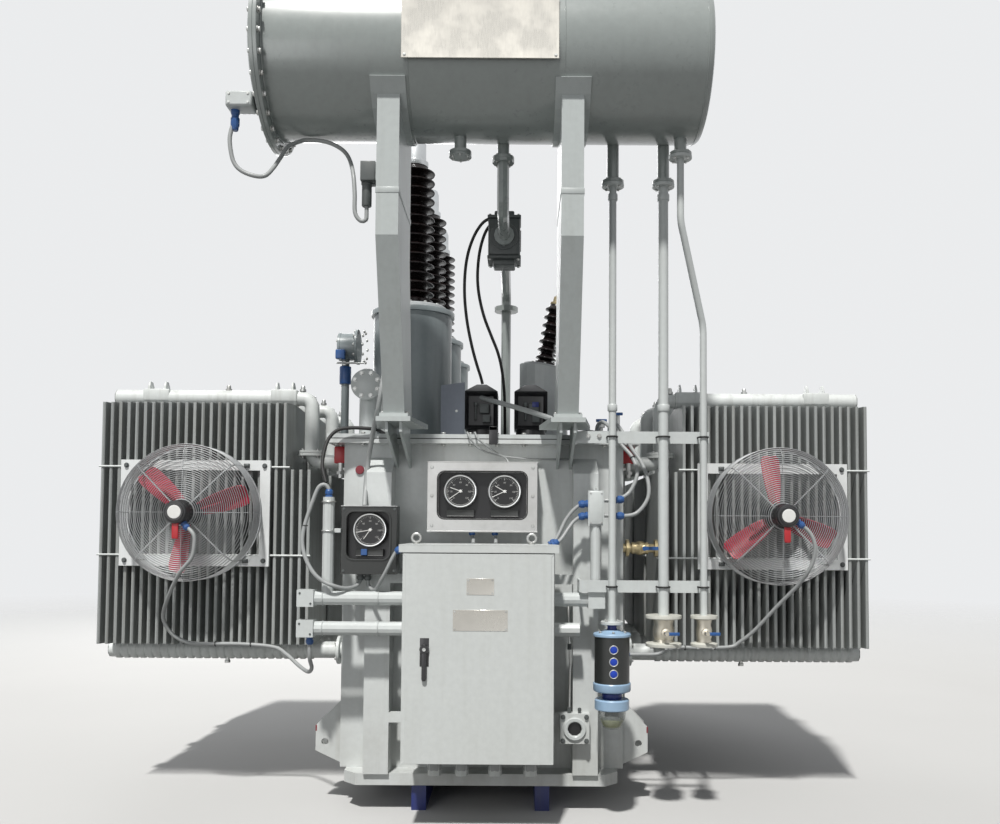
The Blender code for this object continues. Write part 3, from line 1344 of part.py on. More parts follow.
def build_fittings():
    base = COVER_TOP + GAP
    y = FRONT + RELIEF_BEHIND
    for place, name in zip(RELIEF_PLACES, ("left", "right")):
        half = RELIEF_WIDTH / 2
        outline = [(place - half, base + RELIEF_BASE), (place + half, base + RELIEF_BASE),
                   (place + half, base + RELIEF_EAVES), (place, base + RELIEF_RIDGE),
                   (place - half, base + RELIEF_EAVES)]
        hood = extrusion(outline, "Y", y - RELIEF_DEPTH / 2, y + RELIEF_DEPTH / 2)
        foot = rod(RELIEF_RADIUS, (place, y, base), (place, y, base + RELIEF_BASE + OVERRUN), 16)
        finish_piece(fuse(hood, foot), "relief_device_" + name, "black")

    y = FRONT + POST_BEHIND
    post = fuse(
        rod(POST_RADIUS, (POST_X, y, base), (POST_X, y, POST_HEIGHT)),
        rod(POST_NECK, (POST_X, y - POST_LENGTH / 2, POST_HEIGHT), (POST_X, y + POST_LENGTH / 2, POST_HEIGHT)),
        rod(POST_DISC, (POST_X, y - POST_LENGTH / 2 - FLANGE_THICKNESS, POST_HEIGHT),
            (POST_X, y - POST_LENGTH / 2, POST_HEIGHT), 16))
    finish_piece(post, "inspection_flange", "paint")

    y = FRONT + TURRET_FIRST
    joint = -NOZZLE_JOINT - STUB_PLATE - GAP
    path = [(-NOZZLE_PIPE_X, y, NOZZLE_HEIGHT), (-NOZZLE_PIPE_X, y, NOZZLE_PIPE_LOW),
            (-SIDE - GAP, y, NOZZLE_PIPE_LOW)]
    nozzle = fuse(
        rod(NOZZLE_FLANGE, (joint, y, NOZZLE_HEIGHT), (joint - STUB_PLATE, y, NOZZLE_HEIGHT), 16),
        rod(NOZZLE_RADIUS, (joint, y, NOZZLE_HEIGHT), (-NOZZLE_END, y, NOZZLE_HEIGHT), 16),
        pipe(path, NOZZLE_PIPE_RADIUS, NOZZLE_PIPE_RADIUS * 2))
    finish_piece(nozzle, "turret_nozzle", "turret paint")

    y = FRONT - SIDE_VALVE_AHEAD
    z = SIDE_VALVE_HEIGHT
    start = SIDE + GAP
    plate = STUB_PLATE
    valve = fuse(
        rod(SIDE_VALVE_RADIUS, (start, y, z), (SIDE_VALVE_END, y, z)),
        rod(SIDE_VALVE_FLANGE, (start + plate, y, z), (start + plate * 2, y, z)),
        rod(SIDE_VALVE_FLANGE, (SIDE_VALVE_END - plate, y, z), (SIDE_VALVE_END, y, z)),
        rod(LEVER_WIDTH / 2, (LEVER_X, y, z), (LEVER_X, y - LEVER_STEM, z), 10))
    finish_piece(valve, "side_valve", "brass")
    seat = y - LEVER_STEM - PIN_GAP
    lever = fuse(
        block((0, -LEVER_WIDTH / 2, -LEVER_WIDTH / 2), (LEVER_LENGTH, 0, LEVER_WIDTH / 2)),
        rod(LEVER_WIDTH * LEVER_BOSS_SHARE, (0, 0, 0), (0, -LEVER_WIDTH / 2, 0), 10))
    finish_piece(lever, "valve_lever", "blue")
    lever.location = (LEVER_X, seat, z)


# Flexible conduits. Each route is a list of hand-picked points, with Y counted from the tank's front
CONDUIT_RADIUS = 0.012
CONDUIT_STEP = 0.055
SPLINE_STEPS = 12
ROUTES = {
    "motor_conduit_left": [
        (-1.525, -0.215, 1.4695), (-1.505, -0.222, 1.452), (-1.478, -0.235, 1.429), (-1.467, -0.235, 1.396), (-1.478, -0.23, 1.309),
        (-1.514, -0.22, 1.262), (-1.553, -0.20, 1.221), (-1.603, -0.15, 1.151), (-1.658, -0.08, 1.070),
        (-1.696, -0.02, 1.004), (-1.702, 0.01, 0.952), (-1.673, 0.04, 0.887), (-1.608, 0.054, 0.844),
        (-1.524, 0.0555, 0.830), (-1.319, 0.0555, 0.831), (-1.128, 0.0555, 0.816), (-1.048, 0.02, 0.782),
        (-0.963, -0.04, 0.728), (-0.899, -0.12, 0.711), (-0.862, -0.21, 0.745), (-0.86, -0.27, 0.80),
        (-0.86, -0.28, 0.875), (-0.86, -0.28, 0.9105)],
    "motor_conduit_right": [
        (1.630, -0.215, 1.4995), (1.682, -0.225, 1.450), (1.707, -0.23, 1.383), (1.699, -0.22, 1.304),
        (1.673, -0.20, 1.240), (1.640, -0.15, 1.175), (1.558, -0.07, 1.065), (1.456, 0.01, 0.928),
        (1.382, 0.05, 0.858), (1.331, 0.0555, 0.832), (1.170, 0.0555, 0.826), (1.038, 0.0555, 0.826),
        (0.942, 0.04, 0.794), (0.85, 0.04, 0.79), (0.7503, 0.04, 0.79)],
    "gauge_conduit": [
        (-0.774, -0.28, 1.6155), (-0.774, -0.28, 1.650), (-0.792, -0.282, 1.676), (-0.822, -0.286, 1.668),
        (-0.848, -0.29, 1.610),
        (-0.891, -0.30, 1.467), (-0.898, -0.31, 1.382), (-0.876, -0.325, 1.302), (-0.833, -0.335, 1.232),
        (-0.787, -0.335, 1.193), (-0.734, -0.335, 1.170), (-0.68, -0.30, 1.155), (-0.635, -0.24, 1.165),
        (-0.62, -0.21, 1.195), (-0.62, -0.21, 1.2245)],
    "shell_conduit": [
        (-1.165, -0.69, 3.4295), (-1.165, -0.69, 3.390), (-1.182, -0.695, 3.330), (-1.185, -0.70, 3.270), (-1.167, -0.70, 3.183),
        (-1.129, -0.70, 3.137), (-1.065, -0.70, 3.112), (-1.014, -0.70, 3.114), (-0.985, -0.66, 3.170),
        (-0.965, -0.61, 3.240), (-0.945, -0.56, 3.310), (-0.905, -0.52, 3.350), (-0.863, -0.50, 3.368),
        (-0.773, -0.50, 3.360), (-0.701, -0.505, 3.326), (-0.655, -0.53, 3.270), (-0.620, -0.60, 3.170),
        (-0.605, -0.63, 3.060), (-0.600, -0.64, 2.960), (-0.573, -0.64, 2.920), (-0.548, -0.64, 2.925),
        (-0.545, -0.64, 2.955), (-0.545, -0.64, 2.9895)],
    "rim_conduit_upper": [
        (0.6205, -0.28, 1.607), (0.655, -0.28, 1.607), (0.700, -0.278, 1.615), (0.757, -0.26, 1.655), (0.795, -0.24, 1.746),
        (0.776, -0.20, 1.831), (0.715, -0.155, 1.912), (0.675, -0.125, 1.985), (0.640, -0.06, 2.030),
        (0.620, 0.01, 2.030), (0.612, 0.05, 2.010), (0.612, 0.055, 1.985),
        (0.612, 0.055, 1.9598)],
    "rim_conduit_lower": [
        (0.6205, -0.28, 1.530), (0.655, -0.28, 1.530), (0.720, -0.28, 1.528), (0.790, -0.27, 1.545), (0.845, -0.26, 1.615),
        (0.852, -0.24, 1.700), (0.825, -0.20, 1.800), (0.775, -0.16, 1.885), (0.735, -0.13, 1.965),
        (0.705, -0.07, 2.020), (0.688, 0.01, 2.030), (0.680, 0.05, 2.010),
        (0.680, 0.055, 1.985), (0.680, 0.055, 1.9598)],
}


def smooth_route(points):
    """Even points along a smooth curve through the route points, with a straight run at each end."""
    route = [Vector(point) for point in points]
    dense = []
    for before, start, end, after in zip(route, route[1:], route[2:], route[3:]):
        for step in range(SPLINE_STEPS):
            share = step / SPLINE_STEPS
            dense.append(spline_point(before, start, end, after, share))
    dense.append(route[-2])
    even = [dense[0]]
    for place in dense[1:]:
        if (place - even[-1]).length >= CONDUIT_STEP:
            even.append(place)
    if (even[-1] - dense[-1]).length < CONDUIT_STEP / 2:
        even.pop()
    return [route[0]] + even + [dense[-1], route[-1]]


def spline_point(before, start, end, after, share):
    """A point of the smooth curve between start and end, at a share of the way."""
    square = share * share
    cube = square * share
    doubled = start * 2 + (end - before) * share
    doubled += (before * 2 - start * 5 + end * 4 - after) * square
    doubled += (start * 3 - before - end * 3 + after) * cube
    return doubled / 2


def build_conduits():
    for name, route in ROUTES.items():
        places = [(x, FRONT + y, z) for x, y, z in route]
        shape = pipe(smooth_route(places), CONDUIT_RADIUS)
        finish_piece(shape, name, "conduit")


def main():
    clear_scene()
    build_skids()
    build_base()
    build_tank()
    build_cover()
    build_bushings()
    build_conservator()
    build_legs()
    build_relay()
    build_down_pipes()
    build_bars()
    build_breather()
    build_radiators()
    build_fan(-1, "left", BLADE_TURN_LEFT)
    build_fan(1, "right", BLADE_TURN_RIGHT)
    build_cabinet()
    build_door()
    build_gauges()
    build_tubes()
    build_fittings()
    build_conduits()


main()
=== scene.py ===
import math

import bpy
from mathutils import Matrix, Vector


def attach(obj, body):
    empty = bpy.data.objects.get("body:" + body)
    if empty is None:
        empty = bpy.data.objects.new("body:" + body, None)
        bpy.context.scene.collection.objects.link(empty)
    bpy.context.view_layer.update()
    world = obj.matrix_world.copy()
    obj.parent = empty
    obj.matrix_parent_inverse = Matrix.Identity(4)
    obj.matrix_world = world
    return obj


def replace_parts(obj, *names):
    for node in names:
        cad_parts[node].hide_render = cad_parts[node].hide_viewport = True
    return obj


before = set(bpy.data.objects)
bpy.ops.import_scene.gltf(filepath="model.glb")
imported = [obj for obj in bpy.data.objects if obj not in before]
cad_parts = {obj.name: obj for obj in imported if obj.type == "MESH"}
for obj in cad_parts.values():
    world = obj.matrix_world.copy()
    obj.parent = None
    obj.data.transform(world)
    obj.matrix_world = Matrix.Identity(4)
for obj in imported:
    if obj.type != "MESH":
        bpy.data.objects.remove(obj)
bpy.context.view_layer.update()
root = "transformer"
print("frame loaded:", len(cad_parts), "nodes")

ahead, behind, upward, downward = (0, -1, 0), (0, 1, 0), (0, 0, 1), (0, 0, -1)

# the tank's front wall stands here along Y, and most places are counted from it
tankFront = -1.3215
tankSide = 0.75
tankRear = 2.1785
coverTop = 1.9593
onCover = coverTop + 0.0004  # what stands on the cover starts here
pipeY = tankFront - 0.37  # the upright pipes' plane
breatherX, drainX, fillX, fillTop = 0.655, 0.91, 1.11, 0.975  # the fill pipe leans out from fillTop
tubeY = tankFront - 0.28  # the cable tubes' plane

# camera, at the photograph's own height and angle
view = {"place": (0.19, -6.4215, 1.455), "tilt": 92.76, "roll": 0.38, "lens": 34.2, "shift": (-0.019, 0.072)}


def link(thing):
    bpy.context.scene.collection.objects.link(thing)
    return thing


def makeCamera():
    data = bpy.data.cameras.new("camera")
    data.lens = view["lens"]
    data.sensor_width = 36
    data.shift_x, data.shift_y = view["shift"]
    data.clip_end = 100
    camera = link(bpy.data.objects.new("camera", data))
    tilt = Matrix.Rotation(math.radians(view["tilt"]), 4, "X")
    roll = Matrix.Rotation(math.radians(view["roll"]), 4, "Z")
    camera.matrix_world = Matrix.Translation(view["place"]) @ tilt @ roll
    bpy.context.scene.camera = camera


makeCamera()
print("camera placed")


# shader maths: a socket that takes part in Python arithmetic
class Value:
    def __init__(self, graph, socket):
        self.graph = graph
        self.socket = socket

    def work(self, operation, first, second):
        return self.graph.node("ShaderNodeMath", {"operation": operation}, {0: first, 1: second})

    def __add__(self, other):
        return self.work("ADD", self, other)

    def __sub__(self, other):
        return self.work("SUBTRACT", self, other)

    def __mul__(self, other):
        return self.work("MULTIPLY", self, other)


class Graph:
    def __init__(self, name):
        self.material = bpy.data.materials.new(name)
        self.material.use_nodes = True
        self.tree = self.material.node_tree
        self.shader = self.tree.nodes["Principled BSDF"]

    def node(self, kind, settings, sockets, output=0):
        made = self.tree.nodes.new(kind)
        for key, value in settings.items():
            setattr(made, key, value)
        for key, value in sockets.items():
            self.feed(made.inputs[key], value)
        return Value(self, made.outputs[output])

    def feed(self, socket, value):
        if isinstance(value, Value):
            self.tree.links.new(value.socket, socket)
        else:
            plainColour = isinstance(value, tuple) and len(value) == 3 and socket.type == "RGBA"
            socket.default_value = (*value, 1) if plainColour else value

    def surface(self, **sockets):
        for key, value in sockets.items():
            self.feed(self.shader.inputs[key.replace("_", " ")], value)
        return self.material


def objectPlace(graph, stretch=(1, 1, 1)):
    place = graph.node("ShaderNodeTexCoord", {}, {}, "Object")
    return graph.node("ShaderNodeMapping", {}, {"Vector": place, "Scale": stretch})


def noise(graph, scale, detail=4, stretch=(1, 1, 1), rough=0.55):
    sockets = {"Vector": objectPlace(graph, stretch), "Scale": scale, "Detail": detail, "Roughness": rough}
    return graph.node("ShaderNodeTexNoise", {}, sockets, "Fac")


def between(graph, value, low, high):
    sockets = {"Value": value, "From Min": low, "From Max": high}
    return graph.node("ShaderNodeMapRange", {"clamp": True}, sockets)


def blendColour(graph, share, first, second):
    return graph.node("ShaderNodeMix", {"data_type": "RGBA"}, {"Factor": share, 6: first, 7: second}, 2)


def heightAt(graph):
    place = graph.node("ShaderNodeTexCoord", {}, {}, "Object")
    return graph.node("ShaderNodeSeparateXYZ", {}, {"Vector": place}, "Z")


def bump(graph, height, strength, distance):
    sockets = {"Height": height, "Strength": strength, "Distance": distance}
    return graph.node("ShaderNodeBump", {}, sockets)


paints = {
    # colour, stain, roughness, streaks, dust near the ground, rust specks
    "tankPaint": ((0.60, 0.625, 0.62), (0.36, 0.36, 0.33), 0.38, 0.34, 0.55, 0.35),
    "coverPaint": ((0.57, 0.60, 0.60), (0.34, 0.34, 0.31), 0.42, 0.35, 0.0, 0.35),
    "cabinetPaint": ((0.585, 0.61, 0.60), (0.42, 0.43, 0.40), 0.34, 0.22, 0.20, 0.10),
    "conservatorPaint": ((0.30, 0.33, 0.32), (0.23, 0.25, 0.24), 0.28, 0.38, 0.0, 0.15),
    "legPaint": ((0.46, 0.495, 0.49), (0.32, 0.33, 0.315), 0.36, 0.30, 0.0, 0.30),
    "whitePaint": ((0.56, 0.59, 0.585), (0.42, 0.42, 0.40), 0.38, 0.25, 0.20, 0.35),
    # fin paint: a darker grey than the headers and the tank, which paints in the shade between the fins and
    # under the fan guards; its streaks and rust specks are real dirt
    "finShadedPaint": ((0.35, 0.37, 0.365), (0.23, 0.225, 0.20), 0.50, 0.55, 0.35, 0.50),
    "framePaint": ((0.74, 0.76, 0.76), (0.50, 0.50, 0.47), 0.40, 0.25, 0.0, 0.20),
    "turretPaint": ((0.23, 0.265, 0.275), (0.15, 0.16, 0.16), 0.38, 0.30, 0.0, 0.20),
    # skid paint: a dark blue, made darker still so that it paints in the shade under the tank
    "skidShadedPaint": ((0.007, 0.019, 0.15), (0.07, 0.07, 0.075), 0.42, 0.30, 0.40, 0.30),
    "castPaint": ((0.075, 0.085, 0.085), (0.17, 0.17, 0.16), 0.50, 0.30, 0.0, 0.15),
    "headerPaint": ((0.69, 0.72, 0.71), (0.31, 0.305, 0.28), 0.42, 0.45, 0.20, 0.45),
    "boxDark": ((0.020, 0.022, 0.021), (0.06, 0.06, 0.057), 0.36, 0.22, 0.0, 0.10),
    "redPaint": ((0.44, 0.016, 0.024), (0.30, 0.06, 0.06), 0.42, 0.35, 0.0, 0.0),
    "redMark": ((0.19, 0.013, 0.024), (0.14, 0.05, 0.05), 0.5, 0.4, 0.0, 0.0),
    "blueGland": ((0.018, 0.085, 0.27), (0.08, 0.12, 0.21), 0.38, 0.20, 0.0, 0.0),
    "capBlue": ((0.30, 0.44, 0.60), (0.22, 0.28, 0.33), 0.30, 0.25, 0.0, 0.0),
    "blackPaint": ((0.012, 0.012, 0.014), (0.08, 0.08, 0.075), 0.38, 0.25, 0.0, 0.0),
    "deflectorGrey": ((0.24, 0.265, 0.32), (0.17, 0.18, 0.20), 0.42, 0.25, 0.0, 0.0),
    "greyPlastic": ((0.33, 0.345, 0.345), (0.18, 0.18, 0.175), 0.50, 0.25, 0.0, 0.0),
    "valveCream": ((0.60, 0.60, 0.545), (0.36, 0.33, 0.27), 0.40, 0.35, 0.0, 0.4),
    "paleSteel": ((0.45, 0.47, 0.48), (0.30, 0.30, 0.28), 0.45, 0.3, 0.0, 0.3),
}

# how much clear gloss lies over a paint, where it is more than the usual
gloss = {"conservatorPaint": 0.55, "turretPaint": 0.30, "blackPaint": 0.25, "boxDark": 0.03}


def makePaint(name, colour, stain, roughness, streaks, dust, rust):
    graph = Graph(name)
    broad = noise(graph, 1.7, 5)
    fine = noise(graph, 34, 4)
    rain = noise(graph, 2.2, 5, (9, 9, 0.55), 0.62)
    worn = between(graph, rain, 0.50, 0.80) * streaks + between(graph, broad, 0.45, 0.85) * (streaks * 0.6)
    if dust:
        low = between(graph, heightAt(graph), 0.75, 0.16)
        worn = worn + low * between(graph, noise(graph, 5, 4), 0.25, 0.75) * dust
    shade = blendColour(graph, between(graph, worn, 0, 1), colour, stain)
    tone = between(graph, fine, 0.2, 0.8) * 0.10 + 0.95
    grey = graph.node("ShaderNodeCombineColor", {}, {0: tone, 1: tone, 2: tone})
    shade = graph.node("ShaderNodeMix", {"data_type": "RGBA", "blend_type": "MULTIPLY"},
                       {"Factor": 1.0, 6: shade, 7: grey}, 2)
    if rust:
        specks = between(graph, noise(graph, 23, 6, (1, 1, 0.5), 0.7), 0.70, 0.76) * rust
        shade = blendColour(graph, specks, shade, (0.20, 0.085, 0.03))
    rough = between(graph, worn, 0, 1) * 0.25 + roughness + (fine - 0.5) * 0.08
    peel = noise(graph, 130, 2) * 0.25 + broad * 2.5
    return graph.surface(Base_Color=shade, Roughness=rough, Normal=bump(graph, peel, 0.16, 0.0016),
                         Coat_Weight=gloss.get(name, 0.12), Coat_Roughness=0.18)


def makeMetal(name, colour, dull, roughness, stretch, metallic=1.0):
    graph = Graph(name)
    lines = noise(graph, 14, 5, stretch, 0.6)
    spots = noise(graph, 9, 5)
    mask = between(graph, spots, 0.42, 0.78)
    shade = blendColour(graph, mask * 0.8, colour, dull)
    rough = lines * 0.16 + roughness + mask * 0.15
    return graph.surface(Base_Color=shade, Roughness=rough, Metallic=metallic,
                         Normal=bump(graph, lines, 0.12, 0.0008))


metals = {
    "brushedSteel": ((0.60, 0.61, 0.61), (0.42, 0.42, 0.41), 0.26, (2, 2, 60)),
    "boxSteel": ((0.52, 0.52, 0.51), (0.40, 0.40, 0.39), 0.34, (3, 3, 50)),
    "bezelSteel": ((0.72, 0.73, 0.73), (0.55, 0.55, 0.54), 0.24, (20, 20, 20)),
    "polishedPlate": ((0.56, 0.54, 0.495), (0.42, 0.405, 0.37), 0.20, (60, 2, 2)),
    "guardWire": ((0.44, 0.45, 0.455), (0.31, 0.32, 0.325), 0.36, (20, 20, 20)),
    "zincBolt": ((0.50, 0.51, 0.50), (0.28, 0.27, 0.25), 0.36, (30, 30, 30)),
    "dullBrass": ((0.46, 0.38, 0.22), (0.30, 0.27, 0.20), 0.34, (18, 18, 18)),
    "bronzeValve": ((0.52, 0.49, 0.42), (0.34, 0.31, 0.24), 0.36, (18, 18, 18)),
    "capSilver": ((0.62, 0.64, 0.65), (0.45, 0.46, 0.46), 0.30, (3, 3, 40)),
}


def makeGlaze():
    graph = Graph("bushingGlaze")
    mottled = noise(graph, 6, 4)
    dusty = between(graph, noise(graph, 18, 5), 0.52, 0.85) * 0.30
    shade = blendColour(graph, between(graph, mottled, 0.35, 0.75), (0.006, 0.0045, 0.005),
                        (0.012, 0.007, 0.006))
    shade = blendColour(graph, dusty, shade, (0.032, 0.032, 0.034))
    return graph.surface(Base_Color=shade, Roughness=dusty * 0.9 + 0.14, Specular_IOR_Level=0.22,
                         Coat_Weight=0.08, Coat_Roughness=0.08, Normal=bump(graph, mottled, 0.08, 0.002))


def makeFanRed():
    graph = Graph("bladeRed")
    grime = between(graph, noise(graph, 12, 5), 0.50, 0.80) * 0.5
    shade = blendColour(graph, grime, (0.50, 0.018, 0.055), (0.24, 0.05, 0.06))
    return graph.surface(Base_Color=shade, Roughness=grime * 0.4 + 0.34,
                         Normal=bump(graph, noise(graph, 70), 0.15, 0.001))


def makeGlass(name, colour, alpha, roughness=0.06):
    graph = Graph(name)
    film = between(graph, noise(graph, 20, 4), 0.3, 0.8)
    return graph.surface(Base_Color=blendColour(graph, film, colour, tuple(c * 0.8 for c in colour)),
                         Roughness=film * 0.1 + roughness, Alpha=film * 0.1 + alpha, Specular_IOR_Level=0.7)


def makePlain(name, colour, roughness):
    graph = Graph(name)
    cloud = noise(graph, 30, 4)
    shade = blendColour(graph, between(graph, cloud, 0.3, 0.75) * 0.5, colour,
                        tuple(c * 0.82 for c in colour))
    return graph.surface(Base_Color=shade, Roughness=cloud * 0.15 + roughness,
                         Normal=bump(graph, cloud, 0.08, 0.0006))


skins = {name: makePaint(name, *values) for name, values in paints.items()}
skins.update({name: makeMetal(name, *values) for name, values in metals.items()})
skins["bushingGlaze"] = makeGlaze()
skins["bladeRed"] = makeFanRed()
skins["clearCup"] = makeGlass("clearCup", (0.55, 0.60, 0.58), 0.35)
skins["dialGlass"] = makeGlass("dialGlass", (0.85, 0.88, 0.90), 0.10)
skins["dialWhite"] = makePlain("dialWhite", (0.80, 0.80, 0.78), 0.45)
skins["dialMark"] = makePlain("dialMark", (0.40, 0.40, 0.39), 0.45)
skins["dialBlack"] = makePlain("dialBlack", (0.010, 0.010, 0.011), 0.32)
skins["tieBlack"] = makePlain("tieBlack", (0.012, 0.012, 0.012), 0.55)
skins["oilYellow"] = makePlain("oilYellow", (0.22, 0.23, 0.045), 0.22)
skins["gelBlue"] = makePlain("gelBlue", (0.01, 0.05, 0.42), 0.30)
print("materials made:", len(skins))

nodeSkins = {
    "skidShadedPaint": ["skid_left", "skid_right"],
    "tankPaint": ["tank", "base_plate"],
    "coverPaint": ["tank_cover", "inspection_flange"],
    "conservatorPaint": ["conservator_shell", "conservator_end_cover", "relay_pipe", "relay_riser"],
    "polishedPlate": ["conservator_plate"],
    "castPaint": ["gas_relay"],
    "boxDark": ["single_gauge_box"],
    "legPaint": ["conservator_leg_left", "conservator_leg_right", "leg_bracket_left", "leg_bracket_right"],
    "whitePaint": ["level_gauge", "breather_pipe", "drain_pipe", "fill_pipe", "pipe_bar_upper",
                   "pipe_bar_lower", "cable_tube_left_upper", "cable_tube_left_lower",
                   "cable_tube_right_upper"],
    "capBlue": ["breather"],
    "framePaint": ["fan_frame_left", "fan_frame_right"],
    "guardWire": ["fan_cage_left", "fan_cage_right"],
    "bladeRed": ["fan_rotor_left", "fan_rotor_right"],
    "cabinetPaint": ["control_cabinet", "cabinet_door"],
    "blackPaint": ["door_handle", "relief_device_left", "relief_device_right"],
    "boxSteel": ["twin_gauge_box"],
    "turretPaint": ["turret_nozzle"],
    "dullBrass": ["side_valve"],
    "blueGland": ["valve_lever"],
    "greyPlastic": ["motor_conduit_left", "motor_conduit_right", "gauge_conduit", "shell_conduit",
                    "rim_conduit_upper", "rim_conduit_lower"],
    "finShadedPaint": ["radiator_" + side + "_" + row for side in ("left", "right")
                 for row in ("front", "middle", "rear")],
    "bushingGlaze": [kind + "_bushing_" + row for kind in ("hv", "lv")
                     for row in ("front", "middle", "rear")],
}
for skin, names in nodeSkins.items():
    for name in names:
        node = bpy.data.objects[name]
        node.data.materials.clear()
        node.data.materials.append(skins[skin])
print("CAD nodes finished")


# modelling helpers, each one a few hand steps in a row
def mode(word):
    bpy.ops.object.mode_set(mode=word)


def letGo():
    if bpy.context.object and bpy.context.object.mode != "OBJECT":
        mode("OBJECT")
    bpy.ops.object.select_all(action="DESELECT")


def pick(*pieces):
    letGo()
    for piece in pieces:
        piece.select_set(True)
    bpy.context.view_layer.objects.active = pieces[0]


def discard(*pieces):
    for piece in pieces:
        bpy.data.objects.remove(piece, do_unlink=True)


def pointing(direction):
    return Vector(direction).to_track_quat("Z", "Y")


def turned(place, degrees, axis="Y"):
    return Matrix.Translation(place) @ Matrix.Rotation(math.radians(degrees), 4, axis)


def fromFront(place):
    # Y counted from the tank's front wall
    return Vector((place[0], tankFront + place[1], place[2]))


def settle(piece):
    pick(piece)
    bpy.ops.object.transform_apply(location=True, rotation=True, scale=True)
    return piece


def startBlock(low, high):
    letGo()
    middle = [(a + b) / 2 for a, b in zip(low, high)]
    bpy.ops.mesh.primitive_cube_add(size=1, location=middle)
    piece = bpy.context.object
    piece.scale = [abs(b - a) for a, b in zip(low, high)]
    return settle(piece)


def startRound(radius, start, end, sides=24):
    letGo()
    way = Vector(end) - Vector(start)
    bpy.ops.mesh.primitive_cone_add(vertices=sides, radius1=radius, radius2=radius, depth=way.length,
                                    location=(Vector(start) + Vector(end)) / 2,
                                    rotation=pointing(way).to_euler())
    return settle(bpy.context.object)


def startRing(radius, wire, centre, direction, around=48, across=8):
    letGo()
    bpy.ops.mesh.primitive_torus_add(major_radius=radius, minor_radius=wire, major_segments=around,
                                     minor_segments=across, location=centre,
                                     rotation=pointing(direction).to_euler())
    return settle(bpy.context.object)


def upright(radius, x, y, low, high, sides=24):
    return startRound(radius, (x, y, low), (x, y, high), sides)


def pickFaces(piece, test):
    pick(piece)
    mode("EDIT")
    bpy.ops.mesh.select_mode(type="FACE")
    bpy.ops.mesh.select_all(action="DESELECT")
    mode("OBJECT")
    for face in piece.data.polygons:
        face.select = bool(test(face.normal, face.center))
    mode("EDIT")


def facing(axis, way):
    return lambda normal, middle: normal[axis] * way > 0.9


toFront, toTop, toFoot, toRight = facing(1, -1), facing(2, 1), facing(2, -1), facing(0, 1)


def insetFaces(piece, test, thickness, depth=0.0):
    pickFaces(piece, test)
    bpy.ops.mesh.inset(thickness=thickness, depth=depth)
    mode("OBJECT")
    return piece


def panel(low, high, test, thickness, depth=0.0):
    return insetFaces(startBlock(low, high), test, thickness, depth)


def pushFaces(piece, test, move, scale=1.0):
    pickFaces(piece, test)
    bpy.ops.mesh.extrude_region_move(TRANSFORM_OT_translate={"value": move})
    if scale != 1.0:
        bpy.ops.transform.resize(value=(scale, scale, scale))
    mode("OBJECT")
    return piece


def softEdges(piece, width, steps=2, angle=40):
    pick(piece)
    bevel = piece.modifiers.new("softEdges", "BEVEL")
    bevel.width, bevel.segments, bevel.limit_method = width, steps, "ANGLE"
    bevel.angle_limit = math.radians(angle)
    bpy.ops.object.modifier_apply(modifier=bevel.name)
    return piece


def softBlock(low, high, width=0.002, steps=2, angle=40):
    return softEdges(startBlock(low, high), width, steps, angle)


def startMesh(points, edges, faces):
    letGo()
    mesh = bpy.data.meshes.new("start")
    mesh.from_pydata(points, edges, faces)
    piece = link(bpy.data.objects.new("start", mesh))
    pick(piece)
    return piece


def closeUp(threshold=None):
    # welds what lies together and turns all faces outward
    bpy.ops.mesh.select_all(action="SELECT")
    if threshold:
        bpy.ops.mesh.remove_doubles(threshold=threshold)
    bpy.ops.mesh.normals_make_consistent(inside=False)
    mode("OBJECT")


def thicken(piece, thickness, offset):
    pick(piece)
    wall = piece.modifiers.new("wall", "SOLIDIFY")
    wall.thickness, wall.offset = thickness, offset
    bpy.ops.object.modifier_apply(modifier=wall.name)
    return piece


def spun(profile, centre, direction=upward, sides=32):
    edges = [(number, number + 1) for number in range(len(profile) - 1)]
    piece = startMesh([(radius, 0, height) for radius, height in profile], edges, [])
    mode("EDIT")
    bpy.ops.mesh.select_all(action="SELECT")
    bpy.ops.mesh.spin(steps=sides, angle=math.tau, center=(0, 0, 0), axis=upward)
    closeUp(0.00002)
    piece.rotation_euler = pointing(direction).to_euler()
    piece.location = centre
    return settle(piece)


def discOutline(radius, height, inset=0.002, edge=0.002):
    return [(0, 0), (radius - inset, 0), (radius, edge), (radius, height - edge),
            (radius - inset, height), (0, height)]


def bentTube(points, radius, ringSteps=3, smooth=True, name="tube"):
    letGo()
    curve = bpy.data.curves.new(name, "CURVE")
    curve.dimensions, curve.bevel_depth, curve.use_fill_caps = "3D", radius, True
    curve.bevel_resolution, curve.resolution_u = ringSteps, 6
    line = curve.splines.new("NURBS" if smooth else "POLY")
    line.points.add(len(points) - 1)
    for point, place in zip(line.points, points):
        point.co = (*place, 1)
    if smooth:
        line.use_endpoint_u, line.order_u = True, 3
    piece = link(bpy.data.objects.new(name, curve))
    pick(piece)
    bpy.ops.object.convert(target="MESH")
    piece = bpy.context.object
    mode("EDIT")
    closeUp(0.00001)
    return piece


def copied(piece, matrix):
    twin = piece.copy()
    twin.data = piece.data.copy()
    link(twin)
    twin.data.transform(matrix)
    if matrix.determinant() < 0:
        twin.data.flip_normals()
    return twin


def joined(pieces):
    pieces = [piece for piece in pieces if piece]
    if len(pieces) > 1:
        pick(*pieces)
        bpy.ops.object.join()
    return pieces[0]


def finished(piece, name, skin="zincBolt", body=root, smooth=35, stands=()):
    if isinstance(piece, list):
        piece = joined(piece)
    piece.name = piece.data.name = name
    piece.data.materials.clear()
    piece.data.materials.append(skins[skin])
    settle(piece)
    bpy.ops.object.shade_smooth_by_angle(angle=math.radians(smooth))
    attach(piece, body)
    if stands:
        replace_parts(piece, *stands)
    return piece


